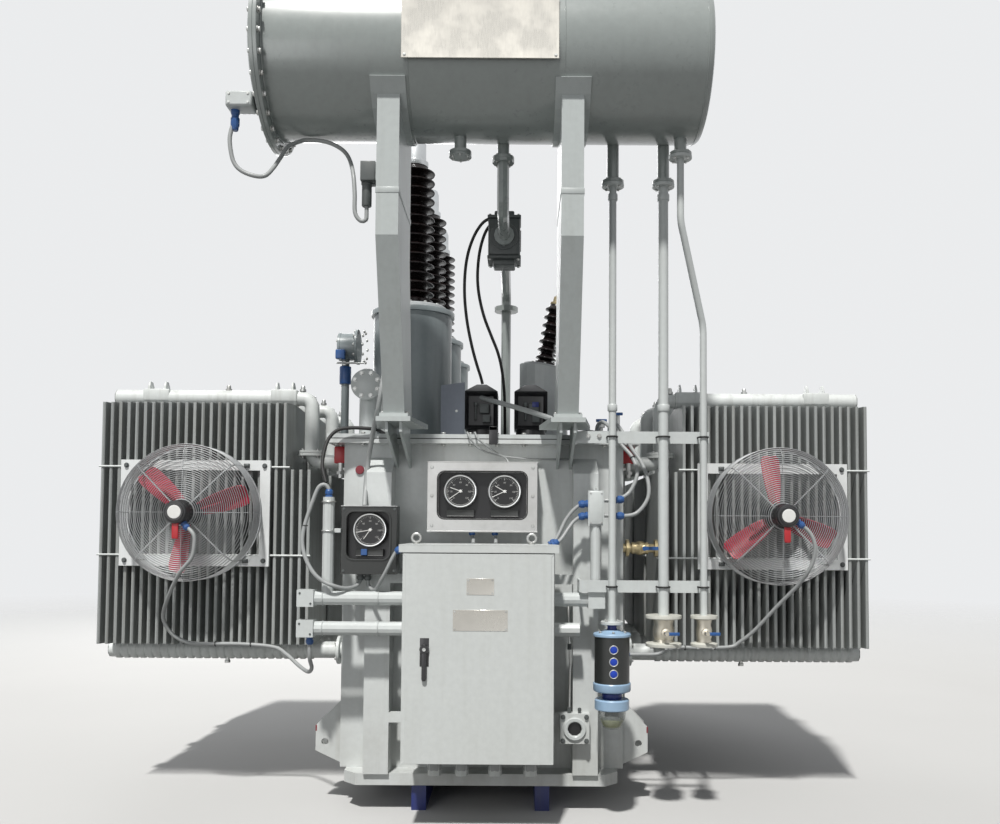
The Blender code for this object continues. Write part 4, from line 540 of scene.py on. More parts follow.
def boltAt(place, direction, size=0.012, height=0.010):
    # a washer, a hexagon head with a rounded top
    place, direction = Vector(place), Vector(direction).normalized()
    washer = startRound(size * 1.25, place, place + direction * height * 0.25, 12)
    head = startRound(size, place + direction * height * 0.2, place + direction * height, 6)
    softEdges(head, size * 0.15, 1)
    return joined([head, washer])


def boltCircle(count, radius, centre, direction, size=0.012, height=0.010, start=0.0):
    first = pointing(direction).to_matrix()
    model = boltAt((0, 0, 0), upward, size, height)
    made = []
    for number in range(count):
        angle = math.tau * (number + start) / count
        spot = Vector(centre) + first @ Vector((radius * math.cos(angle), radius * math.sin(angle), 0))
        made.append(copied(model, Matrix.Translation(spot) @ first.to_4x4()))
    discard(model)
    return joined(made)


def boltsAt(places, direction, size=0.012, height=0.010):
    first = pointing(direction).to_matrix().to_4x4()
    model = boltAt((0, 0, 0), upward, size, height)
    made = [copied(model, Matrix.Translation(place) @ first) for place in places]
    discard(model)
    return joined(made)


# floor, backdrop and lights
stageValues = {"floor": 24.0, "floorColour": (0.52, 0.52, 0.515), "bounceColour": (0.13, 0.13, 0.127),
               "sky": (0.83, 0.84, 0.85), "worldLight": 0.25, "sunPower": 3.9,
               "sunFrom": (-0.10, -0.53, 0.84), "sunAngle": 3.0}


def seenDirectly(graph):
    seen = [graph.node("ShaderNodeLightPath", {}, {}, "Is " + kind + " Ray")
            for kind in ("Camera", "Glossy", "Transmission")]
    return seen[0] + seen[1] + seen[2]


def makeStage():
    letGo()
    bpy.ops.mesh.primitive_plane_add(size=stageValues["floor"] * 2, location=(0, 0, 0))
    floor = bpy.context.object
    floor.name = "floor"
    settle(floor)
    graph = Graph("paleFloor")
    cloud = noise(graph, 0.6, 4)
    shade = blendColour(graph, cloud, stageValues["floorColour"], (0.55, 0.55, 0.545))
    # the eye and the metals see a pale floor, and less of it is thrown back at the object
    shade = blendColour(graph, seenDirectly(graph), stageValues["bounceColour"], shade)
    place = graph.node("ShaderNodeTexCoord", {}, {}, "Object")
    reach = graph.node("ShaderNodeVectorMath", {"operation": "LENGTH"}, {"Vector": place}, "Value")
    # the floor thins out with distance, so that no horizon line stands behind the object
    thin = between(graph, reach, 17, 5.5)
    floor.data.materials.append(graph.surface(Base_Color=shade, Roughness=0.85, Alpha=thin))
    world = bpy.data.worlds.new("studio")
    bpy.context.scene.world = world
    world.use_nodes = True
    tree = world.node_tree
    tree.nodes.clear()
    kinds = ("OutputWorld", "MixShader", "Background", "Background", "LightPath")
    output, mixer, lit, seen, path = (tree.nodes.new("ShaderNode" + kind) for kind in kinds)
    lit.inputs["Color"].default_value = (0.95, 0.97, 1.0, 1)
    lit.inputs["Strength"].default_value = stageValues["worldLight"]
    seen.inputs["Color"].default_value = (*stageValues["sky"], 1)
    share = path.outputs["Is Camera Ray"]
    for kind in ("Is Glossy Ray", "Is Transmission Ray"):
        both = tree.nodes.new("ShaderNodeMath")
        both.operation = "MAXIMUM"
        tree.links.new(share, both.inputs[0])
        tree.links.new(path.outputs[kind], both.inputs[1])
        share = both.outputs[0]
    tree.links.new(share, mixer.inputs[0])
    tree.links.new(lit.outputs[0], mixer.inputs[1])
    tree.links.new(seen.outputs[0], mixer.inputs[2])
    tree.links.new(mixer.outputs[0], output.inputs[0])


lamps = {
    # place, aim, size, power
    "fill": ((-3.5, -9.0, 2.6), (0, -1.0, 1.6), 3.5, 75),
    "back": ((-3.0, 9.0, 5.5), (0, 0, 1.5), 5.0, 330),
}


def makeLamps():
    for name, (place, aim, size, power) in lamps.items():
        data = bpy.data.lights.new(name, "AREA")
        data.size, data.energy = size, power
        lamp = bpy.data.objects.new(name, data)
        lamp.location = place
        lamp.rotation_euler = pointing(Vector(place) - Vector(aim)).to_euler()
        link(lamp)


def makeSun():
    data = bpy.data.lights.new("sun", "SUN")
    data.energy, data.angle = stageValues["sunPower"], math.radians(stageValues["sunAngle"])
    data.color = (1.0, 0.985, 0.955)
    lamp = bpy.data.objects.new("sun", data)
    lamp.rotation_euler = pointing(stageValues["sunFrom"]).to_euler()
    link(lamp)


makeStage()
makeLamps()
makeSun()
bpy.context.scene.view_settings.view_transform = "Standard"
print("stage and lights set")


# fans: fine wire guards, motors with a bare disc, frame bolts
fan = {"x": 1.565, "z": 1.535, "rear": tankFront + 0.0454, "nose": tankFront - 0.1646, "radius": 0.360,
       "wire": 0.0022, "ringStep": 0.0108, "spokes": 8, "motorRibs": 20, "motor": 0.062, "ahead": 0.100}


def guardProfile(radius):
    # how far behind the nose the guard's skin lies at a radius
    if radius < 0.30:
        return 0.012 * (radius / 0.30) ** 2
    share = (radius - 0.30) / 0.06
    return 0.012 + 0.045 * share ** 2.2


def makeFanGuard(side, name):
    centre = (side * fan["x"], fan["z"])
    pieces = []
    radius = fan["motor"] + 0.018
    while radius < fan["radius"] + 0.001:
        place = (centre[0], fan["nose"] + guardProfile(radius), centre[1])
        pieces.append(startRing(radius, fan["wire"], place, behind, 56, 4))
        radius += fan["ringStep"]
    depth = fan["nose"] + 0.070
    while depth < fan["rear"] - 0.02:
        pieces.append(startRing(fan["radius"], fan["wire"], (centre[0], depth, centre[1]), behind, 56, 4))
        depth += 0.0135
    pieces.append(startRing(fan["radius"], 0.0045, (centre[0], fan["rear"] - 0.005, centre[1]),
                            behind, 64, 6))
    pieces.append(startRing(fan["motor"] + 0.006, 0.0045, (centre[0], fan["nose"] + 0.004, centre[1]),
                            behind, 40, 6))
    route = [(0, fan["nose"] + guardProfile(r) + 0.004, r)
             for r in (0.062, 0.12, 0.20, 0.27, 0.30, 0.33, 0.352)]
    route += [(0, fan["nose"] + 0.075, fan["radius"] - 0.002),
              (0, fan["rear"] - 0.004, fan["radius"] - 0.002)]
    model = bentTube(route, fan["wire"], 1, False)
    heavy = bentTube(route, 0.0045, 1, False)
    for number in range(fan["spokes"]):
        turn = turned((centre[0], 0, centre[1]), 360 / fan["spokes"] * number)
        pieces.append(copied(heavy if number % 2 else model, turn))
    discard(model, heavy)
    guard = finished(pieces, name + "FanGuard", "guardWire", smooth=50)
    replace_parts(guard, "fan_cage_" + name)
    front = fan["nose"] - fan["ahead"]
    profile = [(0, 0), (0.044, 0), (0.046, 0.003), (0.046, 0.006), (0.054, 0.008), (0.060, 0.016),
               (0.060, 0.05), (0.062, 0.053), (0.062, 0.145), (0.058, 0.150), (0.058, 0.178),
               (0.050, 0.189), (0, 0.189)]
    motor = spun(profile, (centre[0], front + 0.001, centre[1]), behind, 40)
    ribs = []
    for number in range(fan["motorRibs"]):
        rib = startBlock((-0.0022, front + 0.058, 0.058), (0.0022, front + 0.140, 0.0645))
        ribs.append(copied(rib, turned((centre[0], 0, centre[1]), 360 / fan["motorRibs"] * number)))
        discard(rib)
    finished([motor] + ribs, name + "FanMotor", "blackPaint")
    disc = spun([(0, 0), (0.033, 0), (0.0345, 0.0012), (0.0345, 0.003), (0, 0.003)],
                (centre[0], front - 0.001, centre[1]), behind, 32)
    finished(disc, name + "MotorDisc", "dialWhite")
    low = startBlock((centre[0] - 0.018, front + 0.020, centre[1] - 0.130),
                     (centre[0] + 0.016, front + 0.032, centre[1] - 0.050))
    pushFaces(low, toFoot, (0, 0, -0.008), 0.8)
    finished(softEdges(low, 0.004), name + "MotorTerminals", "redPaint")


def makeFanFrames():
    places = [(side * fan["x"] + across, fan["rear"], fan["z"] + up)
              for side in (-1, 1) for across in (-0.375, 0.375) for up in (-0.257, 0.257)]
    finished(boltsAt(places, ahead, 0.011, 0.012), "fanFrameBolts", "castPaint")
    clips = []
    for side in (-1, 1):
        for across, up in ((-1, -1), (1, -1), (-1, 1), (1, 1)):
            x, z = side * fan["x"] + across * 0.278, fan["z"] + up * 0.258
            clip = startBlock((x - 0.016, fan["rear"] - 0.006, z - 0.011),
                              (x + 0.016, fan["rear"], z + 0.011))
            pushFaces(clip, toFront, (0, -0.006, 0), 0.6)
            clips.append(softEdges(clip, 0.0015, 1))
    finished(clips, "fanGuardClips", "castPaint")


rotor = {"start": tankFront - 0.0740, "hub": 0.070, "hubLength": 0.055, "gap": 0.006, "reach": 0.325,
         "boss": 0.020, "thick": 0.006}
bladeRows = [
    # share of the reach, chord, pitch in degrees, camber
    (0.17, 0.080, 44, 0.010), (0.32, 0.104, 38, 0.014), (0.50, 0.118, 33, 0.016), (0.70, 0.124, 28, 0.016),
    (0.88, 0.122, 25, 0.014), (0.96, 0.110, 24, 0.012), (1.00, 0.080, 23, 0.009)]


def makeBlade(centre, turn):
    # a cambered paddle: a grid of stations, given thickness afterwards
    middle = rotor["gap"] + rotor["hubLength"] / 2
    across = [-0.5, -0.36, -0.18, 0.0, 0.18, 0.36, 0.5]
    points, faces = [], []
    for share, chord, pitch, camber in bladeRows:
        angle = math.radians(pitch)
        for wide in across:
            bow = camber * (1 - (2 * wide) ** 2)
            along = wide * chord * math.cos(angle) - bow * math.sin(angle)
            down = wide * chord * math.sin(angle) + bow * math.cos(angle)
            points.append((along, middle + down, rotor["reach"] * share))
    count = len(across)
    for station in range(len(bladeRows) - 1):
        for step in range(count - 1):
            corner = station * count + step
            faces.append((corner, corner + 1, corner + count + 1, corner + count))
    piece = startMesh(points, [], faces)
    mode("EDIT")
    closeUp()
    softEdges(thicken(piece, rotor["thick"], 0), 0.0018, 2, 50)
    piece.data.transform(turned(centre, turn))
    return piece


def makeRotor(side, name, turn):
    centre = (side * fan["x"], rotor["start"], fan["z"])
    pieces = [makeBlade(centre, turn + 120 * number) for number in range(3)]
    for number in range(3):
        rib = startBlock((-0.004, rotor["gap"] + 0.010, 0.060), (0.004, rotor["gap"] + 0.040, 0.150))
        pushFaces(rib, toTop, (0, 0, 0.040), 0.3)
        pieces.append(copied(rib, turned(centre, turn + 120 * number)))
        discard(rib)
    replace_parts(finished(pieces, name + "FanBlades", "bladeRed", "rotor_" + name, smooth=40),
                "fan_rotor_" + name)
    start, end, radius = rotor["gap"], rotor["gap"] + rotor["hubLength"], rotor["hub"]
    hub = spun([(0, 0.0004), (rotor["boss"], 0.0004), (rotor["boss"], start), (radius - 0.004, start),
                (radius, start + 0.004), (radius, end - 0.006), (radius - 0.006, end), (0, end)],
                centre, behind, 40)
    finished(hub, name + "FanHub", "blackPaint", "rotor_" + name)


makeFanGuard(-1, "left")
makeFanGuard(1, "right")
makeRotor(-1, "left", -48.5)
makeRotor(1, "right", -7)
makeFanFrames()
print("fans done")

# bushings: round sheds, silver caps, bolted flanges
sheds = {"core": 0.079, "tip": 0.1275, "low": 2.905, "high": 3.735, "count": 14}
rows = {"front": tankFront + 0.80, "middle": tankFront + 1.75, "rear": tankFront + 2.70}
turretX = -0.48
lowVoltage = {"x": 0.34, "height": 2.46, "lean": math.radians(11), "core": 0.038, "tip": 0.065, "count": 7,
              "length": 0.36}


def shedOutline(core, tip, low, high, count):
    pitch = (high - low) / count
    outline = []
    for number in range(count):
        start = low + number * pitch
        outline += [(core, start), (core + (tip - core) * 0.25, start + pitch * 0.16),
                    (tip * 0.985, start + pitch * 0.22), (tip, start + pitch * 0.29),
                    (tip * 0.985, start + pitch * 0.35), (core + (tip - core) * 0.4, start + pitch * 0.56),
                    (core + (tip - core) * 0.08, start + pitch * 0.80)]
    return outline + [(core, high)]


def makeHighBushing(row, y):
    base = 2.8053
    body = [(0, base + 0.04), (0.118, base + 0.041), (0.119, base + 0.075), (0.104, base + 0.085)]
    body += shedOutline(sheds["core"], sheds["tip"], sheds["low"], sheds["high"], sheds["count"])
    body += [(0, sheds["high"])]
    glaze = finished(spun(body, (turretX, y, 0), sides=40), row + "HighBushing", "bushingGlaze", smooth=50)
    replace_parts(glaze, "hv_bushing_" + row)
    flange = spun([(0, 0), (0.205, 0), (0.2095, 0.004), (0.2095, 0.026), (0.204, 0.031), (0.150, 0.032),
                   (0.136, 0.040), (0.122, 0.0405), (0, 0.0405)], (turretX, y, base), sides=48)
    finished(flange, row + "HighFlange", "paleSteel")
    finished(boltCircle(12, 0.180, (turretX, y, base + 0.031), upward, 0.012, 0.012), row + "HighFlangeBolts")
    cap = [(0, 0.001), (0.082, 0.001), (0.084, 0.006), (0.084, 0.030), (0.070, 0.038), (0.069, 0.160),
           (0.060, 0.188), (0.036, 0.199), (0.0225, 0.201), (0.0215, 0.258), (0.019, 0.2597), (0, 0.2597)]
    finished(spun(cap, (turretX, y, sheds["high"]), sides=36), row + "HighCap", "capSilver")


def makeLowBushing(row, y):
    axis = Vector((math.sin(lowVoltage["lean"]), 0, math.cos(lowVoltage["lean"])))
    foot = Vector((lowVoltage["x"], y, lowVoltage["height"])) + axis * 0.0003
    end = 0.05 + lowVoltage["length"]
    body = [(0, 0.016), (0.062, 0.017), (0.063, 0.040)]
    body += shedOutline(lowVoltage["core"], lowVoltage["tip"], 0.05, end, lowVoltage["count"]) + [(0, end)]
    glaze = finished(spun(body, foot, axis, 32), row + "LowBushing", "bushingGlaze", smooth=50)
    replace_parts(glaze, "lv_bushing_" + row)
    flange = spun([(0, 0), (0.129, 0), (0.1315, 0.003), (0.1315, 0.012), (0.127, 0.0155), (0.075, 0.016),
                   (0, 0.016)], foot, axis, 40)
    finished(flange, row + "LowFlange", "paleSteel")
    finished(boltCircle(8, 0.104, foot + axis * 0.0155, axis, 0.009, 0.009), row + "LowFlangeBolts")
    cap = [(0, 0.0005), (0.040, 0.0005), (0.041, 0.012), (0.028, 0.018), (0.026, 0.050), (0.014, 0.056),
           (0.013, 0.0695), (0, 0.0695)]
    finished(spun(cap, foot + axis * end, axis, 28), row + "LowCap", "dullBrass")


for row, y in rows.items():
    makeHighBushing(row, y)
    makeLowBushing(row, y)
print("bushings done")

# turrets and cover: rim bolts, turret foot bolts, the dark turret skins
turrets = {"high": (0.24, 0.285, 2.805), "low": 0.15}


def makeTurretSkins():
    wraps, feet = [], []
    radius, flange, top = turrets["high"]
    for y in rows.values():
        skin = spun([(radius + 0.0004, coverTop + 0.031), (radius + 0.0024, coverTop + 0.033),
                     (radius + 0.0024, top - 0.033), (radius + 0.0185, top - 0.0305),
                     (radius + 0.0185, top - 0.004), (radius + 0.0165, top - 0.0006),
                     (radius - 0.02, top - 0.0001)],
                    (turretX, y, 0), sides=56)
        wraps.append(skin)
        feet.append(boltCircle(16, flange - 0.020, (turretX, y, coverTop + 0.030), upward, 0.012, 0.012))
        feet.append(boltCircle(12, turrets["low"] + 0.010, (lowVoltage["x"], y, coverTop + 0.030), upward,
                               0.007, 0.008))
    finished(thicken(joined(wraps), 0.0012, -1), "turretSkins", "turretPaint")
    finished(feet, "turretBolts")


legs = {"x": (-0.43, 0.43), "half": 0.0525, "front": tankFront - 0.767, "band": (3.012, 3.040),
        "footTop": 2.0263}
rim = {"reach": 0.08, "step": 0.145, "inset": 0.042, "size": 0.013}


def makeRimBolts():
    places = []
    edge = rim["reach"] - rim["inset"]
    left, right, near, far = -tankSide - edge, tankSide + edge, tankFront - edge, tankRear + edge
    count = round((far - near) / rim["step"])
    for number in range(count + 1):
        y = near + (far - near) * number / count
        places += [(left, y, coverTop), (right, y, coverTop)]
    count = round((right - left) / rim["step"])
    for number in range(1, count):
        x = left + (right - left) * number / count
        places += [(x, near, coverTop), (x, far, coverTop)]
    # none under the feet of the conservator's legs
    places = [place for place in places if place[1] > tankFront or abs(abs(place[0]) - legs["x"][1]) > 0.165]
    finished(boltsAt(places, upward, rim["size"], 0.013), "rimBolts")
    under = [(*place[:2], 1.911) for place in places]
    finished(boltsAt(under, downward, rim["size"] * 0.9, 0.012), "rimNuts")


makeTurretSkins()
makeRimBolts()
print("cover done")


# gauge boxes: bezels, faces with ticks and plain numbers, pointers
dials = {
    # centre x, z, face depth, radius, pointer angles, the numbers
    "twinLeft": (-0.115, 1.654, tankFront - 0.146, 0.085, (215, 160), (0, 20, 40, 60, 80, 100, 120)),
    "twinRight": (0.115, 1.654, tankFront - 0.146, 0.085, (205, 150), (0, 20, 40, 60, 80, 100, 120)),
    "single": (-0.567, 1.449, tankFront - 0.2463, 0.085, (190, 235), (0, 20, 40, 60, 80, 100, 120)),
}
dialSpan = (225, -45)
boxFronts = {"twin": tankFront - 0.17, "single": tankFront - 0.2703}


def makeDial(name):
    x, z, face, radius, pointers, numbers = dials[name]
    bezel = spun([(radius - 0.004, 0.0), (radius + 0.001, 0.0), (radius + 0.003, 0.006),
                  (radius + 0.001, 0.017), (radius - 0.002, 0.021), (radius - 0.007, 0.020),
                  (radius - 0.009, 0.014), (radius - 0.010, 0.0), (radius - 0.004, 0.0)],
                  (x, face, z), ahead, 48)
    finished(bezel, name + "Bezel", "bezelSteel")
    plate = spun([(0, 0.0), (radius - 0.010, 0.0), (radius - 0.010, 0.010), (0, 0.010)],
                 (x, face, z), ahead, 48)
    finished(plate, name + "Face", "dialBlack")
    marks = []
    level = face - 0.0112
    first, last = dialSpan
    for step in range(37):
        angle = math.radians(first + (last - first) * step / 36)
        long = step % 6 == 0
        reach = 0.013 if long else 0.007
        wide = 0.0016 if long else 0.0009
        mark = startBlock((radius * 0.84 - reach, -0.0003, -wide), (radius * 0.84, 0.0006, wide))
        mark.data.transform(Matrix.Translation((x, level, z)) @ Matrix.Rotation(-angle, 4, "Y"))
        marks.append(mark)
    arc = startRing(radius * 0.845, 0.0010, (x, level, z), behind, 48, 4)
    marks.append(arc)
    for number, text in enumerate(numbers):
        angle = math.radians(first + (last - first) * number / (len(numbers) - 1))
        letGo()
        across, up = radius * 0.56 * math.cos(angle), radius * 0.56 * math.sin(angle)
        bpy.ops.object.text_add(location=(x + across, level, z + up - 0.006), rotation=(math.pi / 2, 0, 0))
        word = bpy.context.object
        word.data.body, word.data.size, word.data.align_x = str(text), 0.0125, "CENTER"
        word.data.extrude = 0.0003
        pick(word)
        bpy.ops.object.convert(target="MESH")
        marks.append(settle(bpy.context.object))
    finished(marks, name + "Marks", "dialMark")
    needles = []
    for angle, length in zip(pointers, (0.80, 0.62)):
        needle = startBlock((-0.012, -0.0004, -0.0016), (radius * length, 0.0004, 0.0016))
        pushFaces(needle, toRight, (0.006, 0, 0), 0.2)
        needle.data.transform(turned((x, level - 0.002, z), -angle))
        needles.append(needle)
    needles.append(spun([(0, 0), (0.008, 0), (0.007, 0.003), (0, 0.004)], (x, level, z), ahead, 20))
    finished(needles, name + "Pointers", "dialWhite")


def windowOutline(left, right, low, high, corner, steps=5):
    outline = []
    for quarter, (x, z) in enumerate(((right - corner, high - corner), (left + corner, high - corner),
                                      (left + corner, low + corner), (right - corner, low + corner))):
        for step in range(steps + 1):
            angle = math.pi / 2 * (quarter + step / steps)
            outline.append((x + corner * math.cos(angle), z + corner * math.sin(angle)))
    return outline


def makeWindowFrame(name, left, right, low, high, corner, face, skin, width=0.014, proud=0.006):
    outer = windowOutline(left - width, right + width, low - width, high + width, corner + width)
    piece = startMesh([(x, face, z) for x, z in outer], [], [list(range(len(outer)))])
    mode("EDIT")
    bpy.ops.mesh.select_all(action="SELECT")
    bpy.ops.mesh.inset(thickness=width)
    bpy.ops.mesh.delete(type="FACE")
    bpy.ops.mesh.select_all(action="SELECT")
    bpy.ops.mesh.extrude_region_move(TRANSFORM_OT_translate={"value": (0, -proud, 0)})
    closeUp()
    return finished(softEdges(piece, 0.0015), name, skin)


def makeTwinBox():
    front = boxFronts["twin"]
    makeWindowFrame("twinWindowFrame", -0.231, 0.231, 1.511, 1.755, 0.035, front + 0.001,
                    "tieBlack", 0.006, 0.002)
    finished(panel((-0.229, front + 0.044, 1.513), (0.229, front + 0.0495, 1.753), toFront, 0.012, -0.002),
             "twinBackPlate", "dialBlack")
    trims = []
    for side in (-1, 1):
        trims.append(startBlock((side * 0.115 - 0.072, front + 0.020, 1.524),
                                (side * 0.115 + 0.072, front + 0.044, 1.556)))
        insetFaces(trims[-1], toFront, 0.004, -0.002)
    finished(trims, "twinLowerPlates", "boxDark")
    screws = [(x, front, z) for z in (1.475, 1.778, 1.63) for x in (-0.262, 0.262)]
    finished(boltsAt(screws, ahead, 0.008, 0.005), "twinBoxScrews")
    edges = [startBlock((-0.290, front - 0.002, 1.803), (0.290, tankFront - 0.002, 1.8075)),
             startBlock((-0.2875, front - 0.0025, 1.441), (0.2875, front + 0.010, 1.449))]
    for edge in edges:
        softEdges(edge, 0.001, 1)
    finished(edges, "twinBoxHood", "boxSteel")


def makeSingleBox():
    front = boxFronts["single"]
    makeWindowFrame("singleWindowFrame", -0.684, -0.466, 1.302, 1.540, 0.035, front + 0.001,
                    "boxDark", 0.010, 0.005)
    finished(panel((-0.682, front + 0.044, 1.304), (-0.468, front + 0.0495, 1.538), toFront, 0.010, -0.002),
             "singleBackPlate", "dialBlack")
    screws = [(x, front, z) for x in (-0.699, -0.441) for z in (1.242, 1.556)]
    finished(boltsAt(screws, ahead, 0.006, 0.004), "singleBoxScrews", "castPaint")
    finished(panel((-0.640, front + 0.018, 1.318), (-0.500, front + 0.044, 1.352), toFront, 0.004, -0.002),
             "singleLowerPlate", "boxDark")
    hood = startBlock((-0.7145, front - 0.006, 1.5690), (-0.4255, front + 0.060, 1.5722))
    finished(softEdges(hood, 0.001, 1), "singleBoxHood", "brushedSteel")
    block = startBlock((-0.612, front + 0.010, 1.320), (-0.580, front + 0.018, 1.352))
    finished(softEdges(block, 0.002, 1), "singleBoxTerminal", "blueGland")


for name in dials:
    makeDial(name)
makeTwinBox()
makeSingleBox()
print("gauges done")

# control cabinet: roof lip, blank plates, lock, lifting eyes, glands and door edge
cabinet = {"half": 0.366, "front": tankFront - 0.50, "door": tankFront - 0.526, "low": 0.339, "high": 1.344,
           "hinge": (0.354, -1.8375), "hingeShares": (0.15, 0.85), "glands": (-0.22, -0.085, 0.08, 0.255)}


def makeBlankPlate(name, low, high, face, skin="polishedPlate", thick=0.002, body="door", screw=0.004):
    plate = panel((low[0], face - thick, low[1]), (high[0], face, high[1]), toFront, 0.004, -0.0005)
    finished(softEdges(plate, 0.0006, 1), name, skin, body)
    if screw:
        inset = screw * 2
        places = [(x, face - thick, z) for x in (low[0] + inset, high[0] - inset)
                  for z in (low[1] + inset, high[1] - inset)]
        finished(boltsAt(places, ahead, screw, screw * 0.6), name + "Screws", "zincBolt", body)


def makeCabinetDetails():
    door = cabinet["door"]
    makeBlankPlate("cabinetPlateSmall", (-0.058, 1.142), (0.074, 1.220), door - 0.0019)
    makeBlankPlate("cabinetPlateLarge", (-0.122, 0.970), (0.140, 1.070), door - 0.0019)
    # folded edge round the door
    skin = panel((-cabinet["half"] + 0.001, door - 0.0008, cabinet["low"] + 0.001),
                 (0.362, door + 0.0004, cabinet["high"] - 0.007), toFront, 0.013, 0.0)
    pushFaces(skin, lambda normal, middle: normal.y < -0.9 and abs(middle.x + 0.0015) < 0.01, (0, -0.0012, 0))
    finished(softEdges(skin, 0.0006, 1, 20), "doorSkin", "cabinetPaint", "door")
    finished(softBlock((-0.279, door - 0.004, 0.800), (-0.235, door - 0.0009, 0.935), 0.003, 2),
             "doorEscutcheon", "blackPaint", "door")
    lever = startBlock((-0.2685, -1.8685, 0.742), (-0.2455, -1.8545, 0.884))
    pushFaces(lever, toFoot, (0, -0.002, -0.010), 0.7)
    softEdges(lever, 0.004, 3)
    boss = spun([(0, 0), (0.0235, 0), (0.0235, 0.012), (0.020, 0.0205), (0, 0.0212)],
                (-0.257, -1.8483, 0.882), ahead, 32)
    key = spun([(0, 0), (0.0085, 0), (0.0085, 0.002), (0.003, 0.0022), (0, 0.0005)],
               (-0.257, -1.8692, 0.882), ahead, 20)
    handle = finished([lever, boss], "doorLever", "blackPaint", "handle")
    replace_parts(handle, "door_handle")
    finished(key, "doorKeyway", "zincBolt", "handle")
    # roof: welded upstand and its lifting eyes
    roof = panel((-0.3855, tankFront - 0.5305, 1.3781), (0.3855, tankFront - 0.1503, 1.3815),
                 toTop, 0.012, 0.0015)
    finished(roof, "cabinetRoofSkin", "cabinetPaint")
    eyes = []
    for x in (-0.315, 0.255):
        eye = startRing(0.021, 0.0065, (x, tankFront - 0.40, 1.412), behind, 28, 10)
        stem = spun([(0, 0), (0.016, 0), (0.016, 0.006), (0.009, 0.010), (0.008, 0.016), (0, 0.018)],
                    (x, tankFront - 0.40, 1.3805), sides=20)
        eyes += [eye, stem]
    finished(eyes, "cabinetLiftingEyes")
    glands = []
    for x in cabinet["glands"]:
        outline = [(0, -0.104), (0.022, -0.104), (0.024, -0.085), (0.030, -0.080), (0.0345, -0.070),
                   (0.0345, -0.045), (0.036, -0.043), (0.036, -0.018), (0.0385, -0.016),
                   (0.0385, -0.0005), (0, -0.0005)]
        glands.append(spun(outline, (x, tankFront - 0.3251, 0.339), sides=12))
    finished(glands, "cabinetGlands", "greyPlastic", smooth=25)
    hinges = []
    for share in cabinet["hingeShares"]:
        level = cabinet["low"] + 1.005 * share
        for start in (level - 0.0495, level + 0.001):
            hinges.append(spun([(0.0082, 0), (0.0092, 0.001), (0.0092, 0.0480), (0.0082, 0.0490)],
                               (*cabinet["hinge"], start), sides=20))
    for part, body, chosen in (("Fixed", root, hinges[0::2]), ("Moving", "door", hinges[1::2])):
        finished(thicken(joined(chosen), 0.0008, -1), "hinge" + part, "zincBolt", body)


makeCabinetDetails()
print("cabinet done")

# breather: dark glass body with blue windows between pale blue caps, and a clear oil cup
breather = {"x": breatherX, "y": pipeY, "top": 0.99}


def makeBreather():
    x, y, top = breather["x"], breather["y"], breather["top"]
    body = upright(0.0865, x, y, top - 0.286, top - 0.050, 56)
    insetFaces(body, lambda normal, middle: abs(normal.z) > 0.9, 0.004, -0.003)
    glass = finished(body, "breatherGlass", "boxDark", stands=("breather",))
    caps = []
    profile = [(0, 0), (0.090, 0), (0.093, 0.003), (0.093, 0.012), (0.089, 0.017), (0.050, 0.024),
               (0.038, 0.032), (0, 0.033)]
    caps.append(spun(profile, (x, y, top - 0.058), sides=48))
    caps.append(spun([(0, 0), (0.078, 0), (0.090, 0.005), (0.093, 0.011), (0.093, 0.041), (0.090, 0.046),
                      (0, 0.046)], (x, y, top - 0.329), sides=48))
    caps.append(spun([(0, 0), (0.080, 0), (0.085, 0.005), (0.085, 0.047), (0.080, 0.053), (0, 0.053)],
                     (x, y, top - 0.416), sides=44))
    finished(caps, "breatherCaps", "capBlue", smooth=30)
    necks = [spun([(0, 0), (0.024, 0), (0.026, 0.003), (0.023, 0.010), (0.023, 0.020), (0.028, 0.024),
                   (0.028, 0.0265), (0, 0.0265)], (x, y, top - 0.0268), sides=28),
             spun([(0, 0), (0.046, 0), (0.050, 0.010), (0.050, 0.026), (0.044, 0.036), (0, 0.036)],
                  (x, y, top - 0.364), sides=32)]
    finished(necks, "breatherNecks", "skidShadedPaint", smooth=30)
    nuts = boltCircle(6, 0.070, (x, y, top - 0.037), upward, 0.006, 0.007, 0.5)
    finished(nuts, "breatherNuts")
    windows, rims = [], []
    for level in (0.115, 0.1735, 0.232):
        windows.append(spun([(0, 0), (0.017, 0), (0.017, 0.004), (0.012, 0.0055), (0, 0.006)],
                            (x, y - 0.0850, top - level), ahead, 28))
        rims.append(startRing(0.0200, 0.0024, (x, y - 0.0868, top - level), behind, 32, 8))
    finished(windows, "breatherWindows", "gelBlue")
    finished(rims, "breatherWindowRims")
    cup = spun([(0, -0.091), (0.036, -0.091), (0.048, -0.084), (0.066, -0.040), (0.069, -0.004), (0.069, 0.0),
                (0, 0.0)], (x, y, top - 0.4164), sides=40)
    finished(cup, "oilCup", "clearCup", smooth=40)
    oil = spun([(0, -0.086), (0.033, -0.086), (0.044, -0.079), (0.056, -0.050), (0.056, -0.044), (0, -0.044)],
               (x, y, top - 0.4164), sides=32)
    finished(oil, "oilCupOil", "oilYellow")
    core = spun([(0, -0.043), (0.034, -0.043), (0.036, -0.038), (0.036, -0.012), (0.046, -0.008),
                 (0.046, -0.0015), (0, -0.0015)], (x, y, top - 0.4164), sides=24)
    finished(core, "oilCupCore", "dialBlack")
    return glass


makeBreather()
print("breather done")
